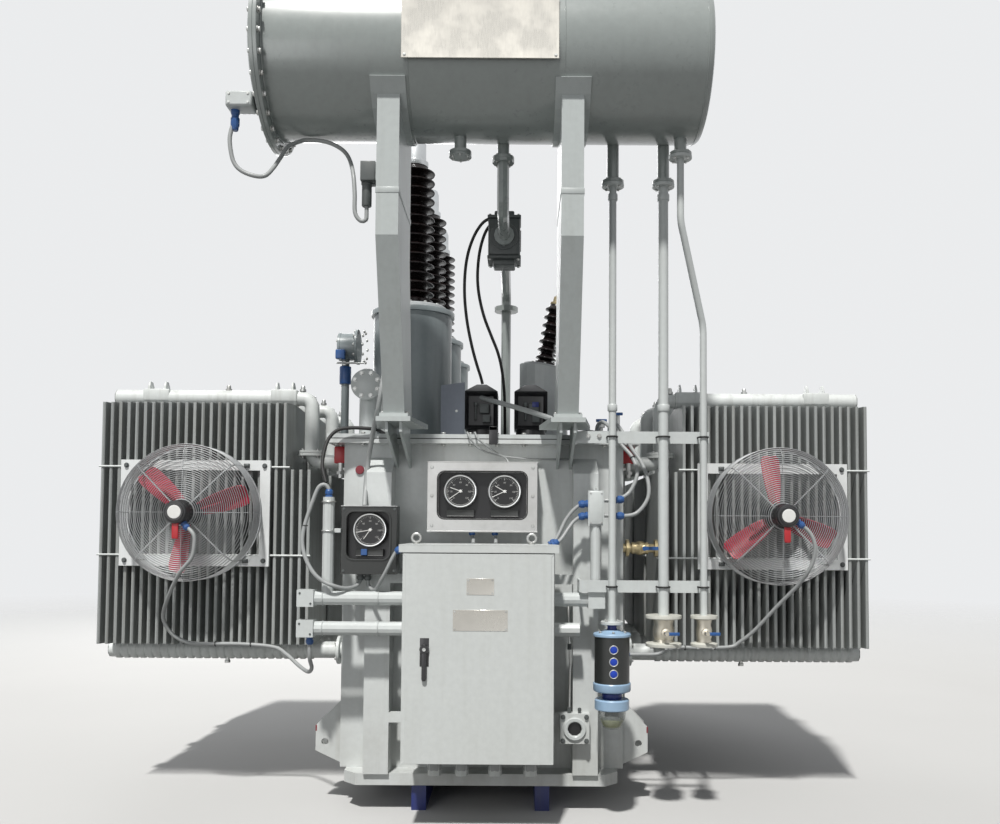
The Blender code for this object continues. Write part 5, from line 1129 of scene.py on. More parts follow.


# conservator: flange bolts, weld seams, leg bands, bare plate frame, stub bolts
shell = {"y": tankFront - 0.50, "z": 3.755, "radius": 0.372, "flange": 0.437, "left": -1.08, "right": 1.08}
shell["joint"] = shell["left"] + 0.055  # the end cover is bolted on here
shellStubs = [(breatherX, pipeY, 3.205), (drainX, pipeY, 3.205), (fillTop, shell["y"], 3.30),
              (0.10, tankFront - 0.38, 3.32)]
stubBolt = (0.0065, 0.007, 0.5)  # size, height, turn


def makeConservatorDetails():
    y, z = shell["y"], shell["z"]
    joint = shell["joint"]
    finished(boltCircle(28, 0.411, (joint + 0.018, y, z), (1, 0, 0), 0.013, 0.014, 0.5), "conservatorNuts")
    finished(boltCircle(28, 0.411, (joint - 0.0183, y, z), (-1, 0, 0), 0.013, 0.012, 0.5), "conservatorBolts")
    seams = [startRing(shell["radius"] + 0.0006, 0.0028, (x, y, z), (1, 0, 0), 72, 6)
             for x in (-0.335, 0.39, 1.048)]
    seams.append(startRing(shell["radius"] + 0.002, 0.0045, (joint + 0.020, y, z), (1, 0, 0), 72, 6))
    finished(seams, "conservatorSeams", "conservatorPaint")
    disc = spun([(0, 0), (0.30, 0), (0.31, 0.004), (0.31, 0.006), (0, 0.006)], (joint - 0.0485, y, z),
                (-1, 0, 0), 56)
    finished(disc, "conservatorEndDisc", "conservatorPaint")
    finished(panel((1.108, y - 0.036, z - 0.12), (1.1135, y + 0.036, z + 0.025), toRight, 0.010, -0.0015),
             "conservatorEndPad", "conservatorPaint")
    # bare plate: raised edge, four posts with screws
    low, high = (-0.36, 3.5975), (0.36, 3.9125)
    face = y - shell["radius"] - 0.0063
    plate = panel((low[0] + 0.001, face - 0.0012, low[1] + 0.001),
                  (high[0] - 0.001, face + 0.001, high[1] - 0.001), toFront, 0.014, -0.0010)
    finished(softEdges(plate, 0.0005, 1), "conservatorBlankPlate", "polishedPlate")
    places = [(x, face - 0.0012, level) for x in (-0.345, 0.345) for level in (3.613, 3.897)]
    finished(boltsAt(places, ahead, 0.006, 0.004), "conservatorPlateScrews")
    stays = []
    for x in (-0.30, 0.30):
        for level in (3.625, 3.885):
            back = y - math.sqrt(shell["radius"] ** 2 - (level - z) ** 2)
            stays.append(startRound(0.010, (x, face + 0.004, level), (x, back + 0.01, level), 16))
    finished(stays, "conservatorPlateStays", "conservatorPaint")
    bolts = []
    for x, place, level in shellStubs:
        bolts.append(boltCircle(4, 0.043, (x, place, level + 0.016), upward, *stubBolt))
        bolts.append(boltCircle(4, 0.043, (x, place, level - 0.0163), downward, *stubBolt))
    blind = spun([(0, 0), (0.0545, 0), (0.0555, 0.002), (0.0555, 0.013), (0, 0.013)],
                 (-0.11, y, 3.2998), downward, 28)
    finished(blind, "spareStubCover", "conservatorPaint")
    bolts.append(boltCircle(6, 0.043, (-0.11, y, 3.2868), downward, *stubBolt))
    finished(bolts, "stubBolts")


def makeLegDetails():
    straps, bolts = [], []
    for x in legs["x"]:
        # collar band where the leg changes to the inclined part
        low = (x - legs["half"] - 0.003, legs["front"] - 0.003, legs["band"][0])
        high = (x + legs["half"] + 0.003, tankFront - 0.287, legs["band"][1])
        straps.append(softBlock(low, high, 0.002, 2))
        for side in (-1, 1):
            for reach in (-0.40, -0.12):
                bolts.append(boltAt((x + side * 0.061, tankFront + reach, legs["footTop"]), upward,
                                    0.010, 0.012))
    finished(straps, "legBands", "legPaint")
    finished(bolts, "legFootBolts")
    box = panel((-0.5705, tankFront - 0.6865, 3.101), (-0.4995, tankFront - 0.5935, 3.194),
                toFront, 0.007, 0.002)
    finished(softEdges(box, 0.002, 2), "legJunctionBox", "castPaint")
    sleeve = spun([(0, -0.001), (0.021, -0.001), (0.0235, 0.003), (0.0235, 0.100), (0.027, 0.104),
                   (0.027, 0.1145), (0, 0.1145)], (-0.545, tankFront - 0.64, 2.9895), sides=24)
    finished(sleeve, "legSleeve", "castPaint")


relay = {"x": 0.10, "z": 3.06, "front": tankFront + 0.02, "rear": tankFront + 0.22}


def makeRelayDetails():
    x, z, y0, y1 = relay["x"], relay["z"], relay["front"], relay["rear"]
    body = panel((x - 0.088, y0 + 0.014, z - 0.105), (x + 0.088, y1 - 0.014, z + 0.105),
                 toFront, 0.018, 0.006)
    softEdges(body, 0.010, 3)
    pieces = [body]
    ledges = ((0.092, 0.006, 0.104, 0.120, 0.004), (0.092, 0.006, -0.120, -0.104, 0.004),
              (0.055, 0.03, 0.119, 0.150, 0.008), (0.060, 0.03, -0.150, -0.119, 0.008))
    for wide, deep, low, high, soft in ledges:
        pieces.append(softBlock((x - wide, y0 + deep, z + low), (x + wide, y1 - deep, z + high), soft))
    for place, direction in ((y0, 1), (y1, -1)):
        pieces.append(spun([(0, 0.0002), (0.074, 0.0002), (0.0765, 0.003), (0.0765, 0.013), (0.072, 0.016),
                            (0, 0.016)], (x, place, z), (0, direction, 0), 40))
    piece = finished(pieces, "gasRelay", "castPaint")
    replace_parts(piece, "gas_relay")
    bolts = [boltAt((x + a * 0.078, y, z + b * 0.1205), (0, 0, b), 0.008, 0.008)
             for a in (-1, 1) for b in (-1, 1) for y in (y0 + 0.025, y1 - 0.025)]
    for place, direction in ((y0 + 0.016, 1), (y1 - 0.016, -1)):
        bolts.append(boltCircle(6, 0.062, (x, place, z), (0, direction, 0), 0.007, 0.006))
    finished(bolts, "relayBolts")
    window = panel((x + 0.0885, y0 + 0.05, z - 0.045), (x + 0.0925, y1 - 0.05, z + 0.045),
                   toRight, 0.006, -0.002)
    finished(window, "relayWindow", "dialBlack")
    # two black cables from the relay's box down to the cover
    cables = []
    routes = [
        [(0.045, 0.05, 3.165), (0.019, 0.06, 3.170), (-0.025, 0.08, 3.150), (-0.075, 0.10, 3.075),
         (-0.112, 0.10, 2.95), (-0.122, 0.10, 2.78), (-0.108, 0.12, 2.62), (-0.080, 0.16, 2.48),
         (-0.052, 0.22, 2.38), (-0.030, 0.28, 2.32), (-0.022, 0.29, 2.285)],
        [(0.045, 0.09, 3.165), (0.012, 0.10, 3.140), (-0.020, 0.12, 3.08), (-0.045, 0.14, 2.98),
         (-0.052, 0.14, 2.82), (-0.020, 0.16, 2.66), (0.030, 0.20, 2.54), (0.075, 0.26, 2.44),
         (0.100, 0.36, 2.30), (0.105, 0.46, 2.12), (0.105, 0.50, 1.962)]]
    for route in routes:
        cables.append(bentTube([fromFront(place) for place in route], 0.0085))
    cables.append(startBlock((0.040, tankFront + 0.038, 3.150), (0.052, tankFront + 0.10, 3.180)))
    finished(cables, "relayCables", "tieBlack", smooth=60)


makeConservatorDetails()
makeLegDetails()
makeRelayDetails()
print("conservator done")

# pipework: round flanges with bolts, valves at the feet, clamps on the bars
# place across and radius of each upright pipe
pipes = {"breather": (breatherX, 0.0185), "drain": (drainX, 0.0250), "fill": (fillX, 0.0175)}


def makePipeFlanges():
    flanges = []
    ring = discOutline(0.0562, 0.016, 0.0017)
    for x, y, level in ((breatherX, pipeY, 3.1885), (drainX, pipeY, 3.1885), (fillTop, shell["y"], 3.2835),
                        (breatherX, pipeY, 0.9905)):
        flanges.append(spun(ring, (x, y, level), sides=32))
    collars = []
    for x, radius in (pipes["breather"], pipes["drain"]):
        for level in (2.05, 3.12):
            collars.append(spun(discOutline(radius + 0.006, 0.034, 0.002, 0.004),
                                (x, pipeY, level), sides=24))
    finished(joined(flanges + collars), "pipeFlanges", "whitePaint")
    tubes = []
    for (x, radius), low in ((pipes["breather"], 1.006), (pipes["drain"], 1.0243)):
        high = 3.1888 - low
        tubes.append(spun([(0, 0), (radius, 0), (radius, high), (0, high)], (x, pipeY, low), sides=32))
    # the fill pipe leans forward and outward between two bends
    x, radius = pipes["fill"]
    bends = ((fillTop, shell["y"], 3.2838), (fillTop, shell["y"], 2.975),
             (x, pipeY, 2.48), (x, pipeY, 1.0243))
    corners = [Vector(place) for place in bends]
    route = [corners[0]]
    for before, corner, after in zip(corners, corners[1:], corners[2:]):
        route += [corner + (before - corner).normalized() * 0.08, corner,
                  corner + (after - corner).normalized() * 0.08]
    tubes.append(bentTube(route + [corners[3]], radius, 6))
    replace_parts(finished(tubes, "pipeSkins", "whitePaint"), "breather_pipe", "drain_pipe", "fill_pipe")
    finished(boltCircle(4, 0.043, (breatherX, pipeY, 1.0065), upward, *stubBolt), "breatherPipeBolts")


footValves = {"low": 0.886, "high": 1.024, "drain": 0.088, "fill": 0.066}  # the last two are flange radii


def makeFootValves():
    bronze, cream, bolts, wheels = [], [], [], []
    low, high = footValves["low"], footValves["high"]
    for x, flange in ((drainX, footValves["drain"]), (fillX, footValves["fill"])):
        rim = [(0, -0.0004), (flange, -0.0004), (flange + 0.0006, 0.002), (flange + 0.0006, 0.014),
               (flange - 0.002, 0.0165), (flange * 0.60, 0.021), (0, 0.021)]
        cream.append(spun(rim, (x, pipeY, low), sides=36))
        cream.append(spun(rim, (x, pipeY, high + 0.0141), downward, 36))
        core = [(0, 0.018), (flange * 0.60, 0.019), (flange * 0.52, 0.034), (flange * 0.60, 0.056),
                (flange * 0.60, 0.084), (flange * 0.52, 0.106), (flange * 0.60, 0.1345), (0, 0.1355)]
        bronze.append(spun(core, (x, pipeY, low), sides=36))
        count = 4 if flange < 0.07 else 6
        for level, direction in ((high + 0.0005, upward), (low - 0.0004, downward)):
            bolts.append(boltCircle(count, flange - 0.014, (x, pipeY, level), direction, 0.009, 0.009, 0.5))
        stem = spun([(0, 0), (0.020, 0), (0.022, 0.006), (0.022, 0.020), (0.012, 0.024), (0.010, 0.060),
                     (0, 0.060)], (x, pipeY - flange * 0.62, low + 0.07), ahead, 24)
        bronze.append(stem)
        wheels.append(softBlock((x - 0.010, pipeY - flange * 0.62 - 0.058, low + 0.062),
                                (x + 0.062, pipeY - flange * 0.62 - 0.050, low + 0.078), 0.003, 2))
    finished(bronze, "footValves", "bronzeValve")
    finished(cream, "footValveFlanges", "valveCream")
    finished(bolts, "footValveBolts")
    finished(wheels, "footValveLevers", "blueGland")


pipeBars = {"levels": (1.923, 1.176), "back": pipeY + 0.0313, "clampGap": 0.006}


def makeBarClamps():
    clamps, nuts, saddles = [], [], []
    back = pipeBars["back"]
    for level in pipeBars["levels"]:
        for x, radius in pipes.values():
            reach = radius + pipeBars["clampGap"]
            saddle = startBlock((x - 0.011, pipeY + radius - 0.003, level - 0.013),
                                (x + 0.011, back + 0.0006, level + 0.013))
            saddles.append(softEdges(saddle, 0.002, 1))
            route = [(x - reach, back + 0.018, level), (x - reach, pipeY, level)]
            for step in range(1, 8):
                angle = math.pi - math.pi * step / 8
                route.append((x + reach * math.cos(angle), pipeY - reach * math.sin(angle), level))
            route += [(x + reach, pipeY, level), (x + reach, back + 0.018, level)]
            clamps.append(bentTube(route, 0.0045, 2, False))
            for side in (-1, 1):
                nuts.append(boltAt((x + side * reach, back + 0.0102, level), behind, 0.009, 0.008))
    finished(clamps, "pipeClamps", "tieBlack", smooth=60)
    finished(nuts, "pipeClampNuts")
    finished(saddles, "pipeSaddles", "whitePaint")
    finished(boltsAt([(0.9, pipeY + 0.0412, 1.905)], behind, 0.008, 0.006), "upperBarBolt")


makePipeFlanges()
makeFootValves()
makeBarClamps()
print("pipes done")


# conservator skin: a rounder shell, flange, end cover and stubs over the CAD solids
def makeConservatorSkin():
    y, z, radius, flange, right = shell["y"], shell["z"], shell["radius"], shell["flange"], shell["right"]
    joint = shell["joint"]
    outline = [(0, joint), (flange - 0.002, joint), (flange, joint + 0.002), (flange, joint + 0.016),
               (flange - 0.002, joint + 0.018), (radius, joint + 0.018), (radius, right - 0.030),
               (radius - 0.003, right - 0.018), (radius - 0.012, right - 0.006),
               (radius - 0.030, right), (0, right)]
    body = spun(outline, (0, y, z), (1, 0, 0), 96)
    stubs = []
    for x, place, level in shellStubs + [(-0.11, y, 3.30)]:
        stubs.append(spun([(0, 0), (0.0535, 0), (0.055, 0.0015), (0.055, 0.0145), (0.0535, 0.016),
                           (0.034, 0.0165), (0.030, 0.022), (0.030, 0.26), (0, 0.26)],
                          (x, place, level), sides=36))
    pad = softBlock((1.05, y - 0.05, z - 0.15), (1.11, y + 0.05, z + 0.04), 0.004, 2)
    skin = finished([body, pad] + stubs, "conservatorShell", "conservatorPaint", smooth=30)
    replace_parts(skin, "conservator_shell")
    face = joint - 0.0003
    outline = [(0, face - 0.048), (radius - 0.03, face - 0.048), (radius - 0.010, face - 0.040),
               (radius, face - 0.0185), (flange - 0.002, face - 0.018), (flange, face - 0.016),
               (flange, face - 0.002), (flange - 0.002, face), (0, face)]
    cover = finished(spun(outline, (0, y, z), (1, 0, 0), 96), "conservatorEndCover",
                     "conservatorPaint", smooth=30)
    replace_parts(cover, "conservator_end_cover")
    box = panel((-1.2000, y - 0.24, 3.430), (-1.0734, y - 0.14, 3.506), toFront, 0.010, 0.004)
    softEdges(box, 0.012, 4)
    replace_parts(finished(box, "levelGauge", "whitePaint"), "level_gauge")
    places = [(x, y - 0.2441, level) for x in (-1.182, -1.092) for level in (3.447, 3.489)]
    finished(boltsAt(places, ahead, 0.006, 0.004), "levelGaugeScrews")


makeConservatorSkin()
print("conservator skin done")

# flexible conduits, on the same routes as the CAD's own
conduitRoutes = {
    "motor_conduit_left": [
        (-1.525, -0.215, 1.4695), (-1.505, -0.222, 1.452), (-1.478, -0.235, 1.429), (-1.467, -0.235, 1.396),
        (-1.478, -0.23, 1.309), (-1.514, -0.22, 1.262), (-1.553, -0.20, 1.221), (-1.603, -0.15, 1.151),
        (-1.658, -0.08, 1.070), (-1.696, -0.02, 1.004), (-1.702, 0.01, 0.952), (-1.673, 0.04, 0.887),
        (-1.608, 0.054, 0.844), (-1.524, 0.0555, 0.830), (-1.319, 0.0555, 0.831), (-1.128, 0.0555, 0.816),
        (-1.048, 0.02, 0.782), (-0.963, -0.04, 0.728), (-0.899, -0.12, 0.711), (-0.862, -0.21, 0.745),
        (-0.86, -0.27, 0.80), (-0.86, -0.28, 0.875), (-0.86, -0.28, 0.9105)],
    "motor_conduit_right": [
        (1.630, -0.215, 1.4995), (1.682, -0.225, 1.450), (1.707, -0.23, 1.383), (1.699, -0.22, 1.304),
        (1.673, -0.20, 1.240), (1.640, -0.15, 1.175), (1.558, -0.07, 1.065), (1.456, 0.01, 0.928),
        (1.382, 0.05, 0.858), (1.331, 0.0555, 0.832), (1.170, 0.0555, 0.826), (1.038, 0.0555, 0.826),
        (0.942, 0.04, 0.794), (0.85, 0.04, 0.79), (0.7503, 0.04, 0.79)],
    "gauge_conduit": [
        (-0.774, -0.28, 1.6155), (-0.774, -0.28, 1.650), (-0.792, -0.282, 1.676), (-0.822, -0.286, 1.668),
        (-0.848, -0.29, 1.610), (-0.891, -0.30, 1.467), (-0.898, -0.31, 1.382), (-0.876, -0.325, 1.302),
        (-0.833, -0.335, 1.232), (-0.787, -0.335, 1.193), (-0.734, -0.335, 1.170), (-0.68, -0.30, 1.155),
        (-0.635, -0.24, 1.165), (-0.62, -0.21, 1.195), (-0.62, -0.21, 1.2245)],
    "shell_conduit": [
        (-1.165, -0.69, 3.4295), (-1.165, -0.69, 3.390), (-1.182, -0.695, 3.330), (-1.185, -0.70, 3.270),
        (-1.167, -0.70, 3.183), (-1.129, -0.70, 3.137), (-1.065, -0.70, 3.112), (-1.014, -0.70, 3.114),
        (-0.985, -0.66, 3.170), (-0.965, -0.61, 3.240), (-0.945, -0.56, 3.310), (-0.905, -0.52, 3.350),
        (-0.863, -0.50, 3.368), (-0.773, -0.50, 3.360), (-0.701, -0.505, 3.326), (-0.655, -0.53, 3.270),
        (-0.620, -0.60, 3.170), (-0.605, -0.63, 3.060), (-0.600, -0.64, 2.960), (-0.573, -0.64, 2.920),
        (-0.548, -0.64, 2.925), (-0.545, -0.64, 2.955), (-0.545, -0.64, 2.9895)],
    "rim_conduit_upper": [
        (0.6205, -0.28, 1.607), (0.655, -0.28, 1.607), (0.700, -0.278, 1.615), (0.757, -0.26, 1.655),
        (0.795, -0.24, 1.746), (0.776, -0.20, 1.831), (0.715, -0.155, 1.912), (0.675, -0.125, 1.985),
        (0.640, -0.06, 2.030), (0.620, 0.01, 2.030), (0.612, 0.05, 2.010), (0.612, 0.055, 1.985),
        (0.612, 0.055, 1.9598)],
    "rim_conduit_lower": [
        (0.6205, -0.28, 1.530), (0.655, -0.28, 1.530), (0.720, -0.28, 1.528), (0.790, -0.27, 1.545),
        (0.845, -0.26, 1.615), (0.852, -0.24, 1.700), (0.825, -0.20, 1.800), (0.775, -0.16, 1.885),
        (0.735, -0.13, 1.965), (0.705, -0.07, 2.020), (0.688, 0.01, 2.030), (0.680, 0.05, 2.010),
        (0.680, 0.055, 1.985), (0.680, 0.055, 1.9598)],
}
# more conduits that only the scene has: cabinet roof, gauge boxes
smallRoutes = {
    "roofConduitUpper": [(0.5395, -0.28, 1.590), (0.510, -0.28, 1.588), (0.470, -0.28, 1.560),
        (0.430, -0.28, 1.510), (0.405, -0.29, 1.460), (0.385, -0.30, 1.420), (0.368, -0.31, 1.395),
        (0.345, -0.32, 1.383)],
    "roofConduitLower": [(0.5395, -0.28, 1.530), (0.508, -0.28, 1.526), (0.470, -0.285, 1.500),
        (0.440, -0.30, 1.462), (0.415, -0.32, 1.425), (0.392, -0.335, 1.398), (0.360, -0.35, 1.384)],
    "singleBoxConduit": [(-0.583, -0.21, 1.2245), (-0.583, -0.21, 1.195), (-0.576, -0.215, 1.165),
        (-0.555, -0.24, 1.146), (-0.530, -0.28, 1.152), (-0.502, -0.32, 1.190), (-0.468, -0.345, 1.250),
        (-0.440, -0.35, 1.308), (-0.418, -0.35, 1.344), (-0.3862, -0.35, 1.364)],
    "twinBoxCableLeft": [(-0.055, -0.10, 1.4485), (-0.055, -0.10, 1.430), (-0.050, -0.12, 1.410),
        (-0.045, -0.16, 1.396), (-0.045, -0.18, 1.3825)],
    "twinBoxCableRight": [(0.065, -0.10, 1.4485), (0.065, -0.10, 1.430), (0.068, -0.12, 1.410),
        (0.072, -0.16, 1.396), (0.072, -0.18, 1.3825)],
    "capillaryLeft": [(-0.085, 0.33, 1.9655), (-0.100, 0.20, 1.9655), (-0.098, 0.08, 1.9655),
                      (-0.092, -0.02, 1.9665), (-0.085, -0.082, 1.968), (-0.070, -0.104, 1.935),
                      (-0.025, -0.085, 1.885), (0.06, -0.060, 1.853), (0.17, -0.040, 1.839),
                      (0.27, -0.022, 1.834), (0.46, -0.014, 1.834)],
    "capillaryThin": [(-0.055, 0.32, 1.9655), (-0.060, 0.16, 1.9655), (-0.055, 0.00, 1.9655),
                      (-0.045, -0.084, 1.968), (-0.030, -0.106, 1.935), (0.012, -0.098, 1.900),
                      (0.070, -0.07, 1.862), (0.118, -0.05, 1.835), (0.135, -0.06, 1.8078)],
}


def smoothRoute(points, step=0.011):
    route = [fromFront(place) for place in points]
    dense = [route[0]]
    ends = [route[0] * 2 - route[1]] + route + [route[-1] * 2 - route[-2]]
    for before, start, end, after in zip(ends, ends[1:], ends[2:], ends[3:]):
        count = max(2, round((end - start).length / step))
        for number in range(1, count + 1):
            share = number / count
            bend = before * 2 - start * 5 + end * 4 - after
            twist = start * 3 - before - end * 3 + after
            place = start * 2 + (end - before) * share + bend * share ** 2 + twist * share ** 3
            dense.append(place / 2)
    return dense


def makeConduits():
    for name, route in conduitRoutes.items():
        points = smoothRoute(route)
        points[0], points[-1] = fromFront(route[0]), fromFront(route[-1])
        words = name.split("_")
        piece = bentTube(points, 0.0102, 4, False)
        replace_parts(finished(piece, words[0] + "Conduit" + "".join(word.capitalize() for word in words[2:]),
                             "greyPlastic", smooth=60), name)
    for name, route in smallRoutes.items():
        thin = 0.0050 if "capillary" in name else 0.0095
        finished(bentTube(smoothRoute(route), thin, 3, False), name, "greyPlastic", smooth=60)


glands = {
    # start, direction, radius, length
    "motorLeft": ((-1.532, -0.2145, 1.4788), (0.6, -0.12, -0.78), 0.0155, 0.042),
    "motorRight": ((1.622, -0.2145, 1.5062), (0.75, -0.10, -0.66), 0.0155, 0.042),
    "leftStand": ((-0.774, -0.28, 1.6151), upward, 0.0165, 0.040),
    "singleLeft": ((-0.62, -0.21, 1.2249), downward, 0.0155, 0.034),
    "singleRight": ((-0.583, -0.21, 1.2249), downward, 0.0155, 0.034),
    "gauge": ((-1.165, -0.69, 3.4299), downward, 0.0175, 0.098),
    "boxUpperRight": ((0.672, -0.279, 1.608), (1, 0, 0.12), 0.0165, 0.052),
    "boxLowerRight": ((0.672, -0.28, 1.529), (1, 0, 0.0), 0.0165, 0.052),
    "boxUpperLeft": ((0.5401, -0.28, 1.590), (-1, 0, -0.10), 0.0165, 0.048),
    "boxLowerLeft": ((0.5401, -0.28, 1.530), (-1, 0, -0.16), 0.0165, 0.048),
    "roofUpper": ((0.345, -0.32, 1.3805), (0.55, 0.10, 0.35), 0.015, 0.036),
    "roofLower": ((0.358, -0.35, 1.3805), (0.60, 0.10, 0.35), 0.015, 0.036),
    "roofLeft": ((-0.3857, -0.35, 1.364), (-0.85, 0, -0.52), 0.0155, 0.044),
    "twinLeft": ((-0.055, -0.10, 1.4489), downward, 0.014, 0.026),
    "twinRight": ((0.065, -0.10, 1.4489), downward, 0.014, 0.026),
    "leftSquare": ((-0.86, -0.28, 0.9109), downward, 0.0165, 0.040),
    "tankRight": ((0.7501, 0.04, 0.79), (1, 0, 0), 0.0165, 0.040),
    "rimUpper": ((0.612, 0.055, 1.9596), upward, 0.0165, 0.034),
    "rimLower": ((0.680, 0.055, 1.9596), upward, 0.0165, 0.034),
}


glandShares = ((0, 0), (1.18, 0), (1.18, 0.18), (1, 0.22), (1, 0.36), (1.22, 0.40), (1.22, 0.74),
               (1.05, 0.84), (0.92, 0.97), (0.80, 1), (0, 1))


def makeGlands():
    made, plain = [], []
    for name, (place, direction, radius, length) in glands.items():
        outline = [(radius * wide, length * along) for wide, along in glandShares]
        chosen = plain if name.startswith("single") else made
        chosen.append(spun(outline, fromFront(place), direction, 12))
    finished(made, "cableGlands", "blueGland", smooth=25)
    finished(plain, "darkGlands", "castPaint", smooth=25)


def makeTies():
    places = [((-1.25, 0.0555, 0.830), (1, 0, 0)), ((-1.44, 0.0555, 0.8305), (1, 0, 0)),
              ((1.25, 0.0555, 0.829), (1, 0, 0)), ((1.09, 0.0555, 0.826), (1, 0, 0)),
              ((-0.888, -0.299, 1.470), (0.1, 0, 1)), ((0.776, -0.20, 1.831), (-0.3, 0.4, 0.8))]
    made = [startRing(0.0122, 0.0026, fromFront(place), direction, 20, 6) for place, direction in places]
    finished(made, "cableTies", "tieBlack")


makeConduits()
makeGlands()
makeTies()
print("conduits done")

# fittings on the cover: inspection post, nozzle, hooded relief devices, deflector plate and small parts
coverFits = {"post": (-0.657, tankFront + 0.20, 2.252), "nozzle": (tankFront + 0.80, 2.59),
             "hoods": (-0.03, 0.255), "hoodY": tankFront + 0.40,
             "redCaps": ((-1, 1.812), (1, 1.820))}


def makeInspectionPost():
    x, y, z = coverFits["post"]
    front = y - 0.07
    pieces = [spun([(0, onCover), (0.072, onCover), (0.073, coverTop + 0.014), (0.050, coverTop + 0.016),
                    (0.050, z), (0, z)], (x, y, 0), sides=36),
              spun([(0, 0), (0.060, 0), (0.060, 0.138), (0.055, 0.140), (0, 0.140)],
                   (x, front, z), behind, 40),
              spun([(0, 0.0005), (0.083, 0.0005), (0.0848, 0.002), (0.0848, 0.008), (0.083, 0.0095),
                    (0, 0.0095)], (x, front, z), ahead, 48),
              spun([(0, 0.0105), (0.083, 0.0105), (0.0852, 0.012), (0.0852, 0.0165), (0.083, 0.018),
                    (0, 0.018)], (x, front, z), ahead, 48),
              spun([(0, 0.055), (0.020, 0.055), (0.020, 0.075), (0.030, 0.078), (0.030, 0.098),
                    (0.012, 0.104), (0, 0.104)], (x - 0.010, y + 0.01, z), sides=6)]
    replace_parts(finished(pieces, "inspectionPost", "whitePaint"), "inspection_flange")
    finished(boltCircle(8, 0.067, (x, front - 0.018, z), ahead, 0.010, 0.009, 0.5), "inspectionBolts")


def makeNozzle():
    y, z = coverFits["nozzle"]
    drum = [(0, 0.0163), (0.108, 0.0163), (0.110, 0.018), (0.110, 0.0305), (0.108, 0.0323), (0.086, 0.033),
            (0.085, 0.040), (0.085, 0.122), (0.088, 0.124), (0.088, 0.138), (0.085, 0.140), (0, 0.140)]
    pieces = [spun(drum, (-0.80, y, z), (-1, 0, 0), 48)]
    route = [(-0.90, y, z), (-0.90, y, 1.87)]
    for step in range(1, 7):
        angle = math.pi / 2 * step / 6
        route.append((-0.83 - 0.07 * math.cos(angle), y, 1.87 - 0.07 * math.sin(angle)))
    route.append((-tankSide - 0.0004, y, 1.80))
    pieces.append(bentTube(route, 0.0252, 4, False))
    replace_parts(finished(pieces, "turretNozzle", "turretPaint"), "turret_nozzle")
    bolts = [boltCircle(10, 0.0975, (-0.8325, y, z), (-1, 0, 0), 0.009, 0.010),
             boltCircle(10, 0.0975, (-0.7838, y, z), (1, 0, 0), 0.009, 0.010),
             boltCircle(8, 0.070, (-0.94, y, z), (-1, 0, 0), 0.008, 0.008, 0.5)]
    finished(bolts, "nozzleBolts")
    blue = [spun(discOutline(0.036, 0.110, 0.002, 0.003), (-0.90, y, 2.356), sides=24)]
    cap = startBlock((-0.944, y - 0.112, 2.498), (-0.886, y - 0.070, 2.556))
    blue.append(softEdges(cap, 0.006, 2))
    finished(blue, "nozzleValve", "blueGland")
    rods = [startRound(0.006, (-0.944, y - 0.06, 2.480), (-0.775, y - 0.06, 2.480), 12),
            spun([(0, 0), (0.014, 0), (0.014, 0.020), (0, 0.020)], (-0.90, y - 0.035, 2.480), ahead, 12)]
    finished(rods, "nozzleValveLever")


def makeHoods():
    y = coverFits["hoodY"]
    base = onCover
    for x, name in zip(coverFits["hoods"], ("left", "right")):
        hood = startBlock((x - 0.095, y - 0.11, base + 0.070), (x + 0.095, y + 0.11, base + 0.285))
        pushFaces(hood, toTop, (0, 0, 0.050), 0.30)
        insetFaces(hood, lambda normal, middle: normal.y < -0.95, 0.022, -0.045)
        softEdges(hood, 0.004, 2, 30)
        foot = spun([(0, 0), (0.112, 0), (0.113, 0.002), (0.113, 0.018), (0.085, 0.020), (0.085, 0.075),
                     (0, 0.075)], (x, y, base), sides=40)
        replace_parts(finished([hood, foot], name + "ReliefHood", "blackPaint"), "relief_device_" + name)
        finished(boltCircle(6, 0.100, (x, y, base + 0.0185), upward, 0.009, 0.009, 0.5), name + "ReliefBolts")
        parts = [upright(0.006, x - 0.030, y - 0.085, base + 0.125, base + 0.215, 12),
                 upright(0.012, x - 0.030, y - 0.085, base + 0.205, base + 0.222, 16),
                 startBlock((x + 0.010, y - 0.095, base + 0.110), (x + 0.050, y - 0.070, base + 0.150)),
                 softBlock((x - 0.010, y - 0.098, base + 0.160),
                           (x + 0.045, y - 0.066, base + 0.215), 0.004, 2)]
        finished(parts, name + "ReliefSwitch", "castPaint")
    finished(softBlock((0.262, y - 0.102, base + 0.196), (0.300, y - 0.0975, base + 0.226), 0.003, 2),
             "reliefSwitchCap", "skidShadedPaint")


def makeDeflector():
    # a bent sheet that stands before the left hood
    y = tankFront + 0.20
    sheet = startBlock((-0.251, y - 0.0015, onCover), (-0.117, y + 0.0015, 2.262))
    for vertex in sheet.data.vertices:
        if vertex.co.z > 2.2 and vertex.co.x > -0.2:
            vertex.co.z += 0.018
    foot = startBlock((-0.251, y, onCover), (-0.117, y + 0.055, coverTop + 0.0034))
    finished([sheet, foot], "deflectorPlate", "deflectorGrey")
    finished(boltsAt([(-0.163, y - 0.0017, 2.118)], ahead, 0.006, 0.004), "deflectorBolt")


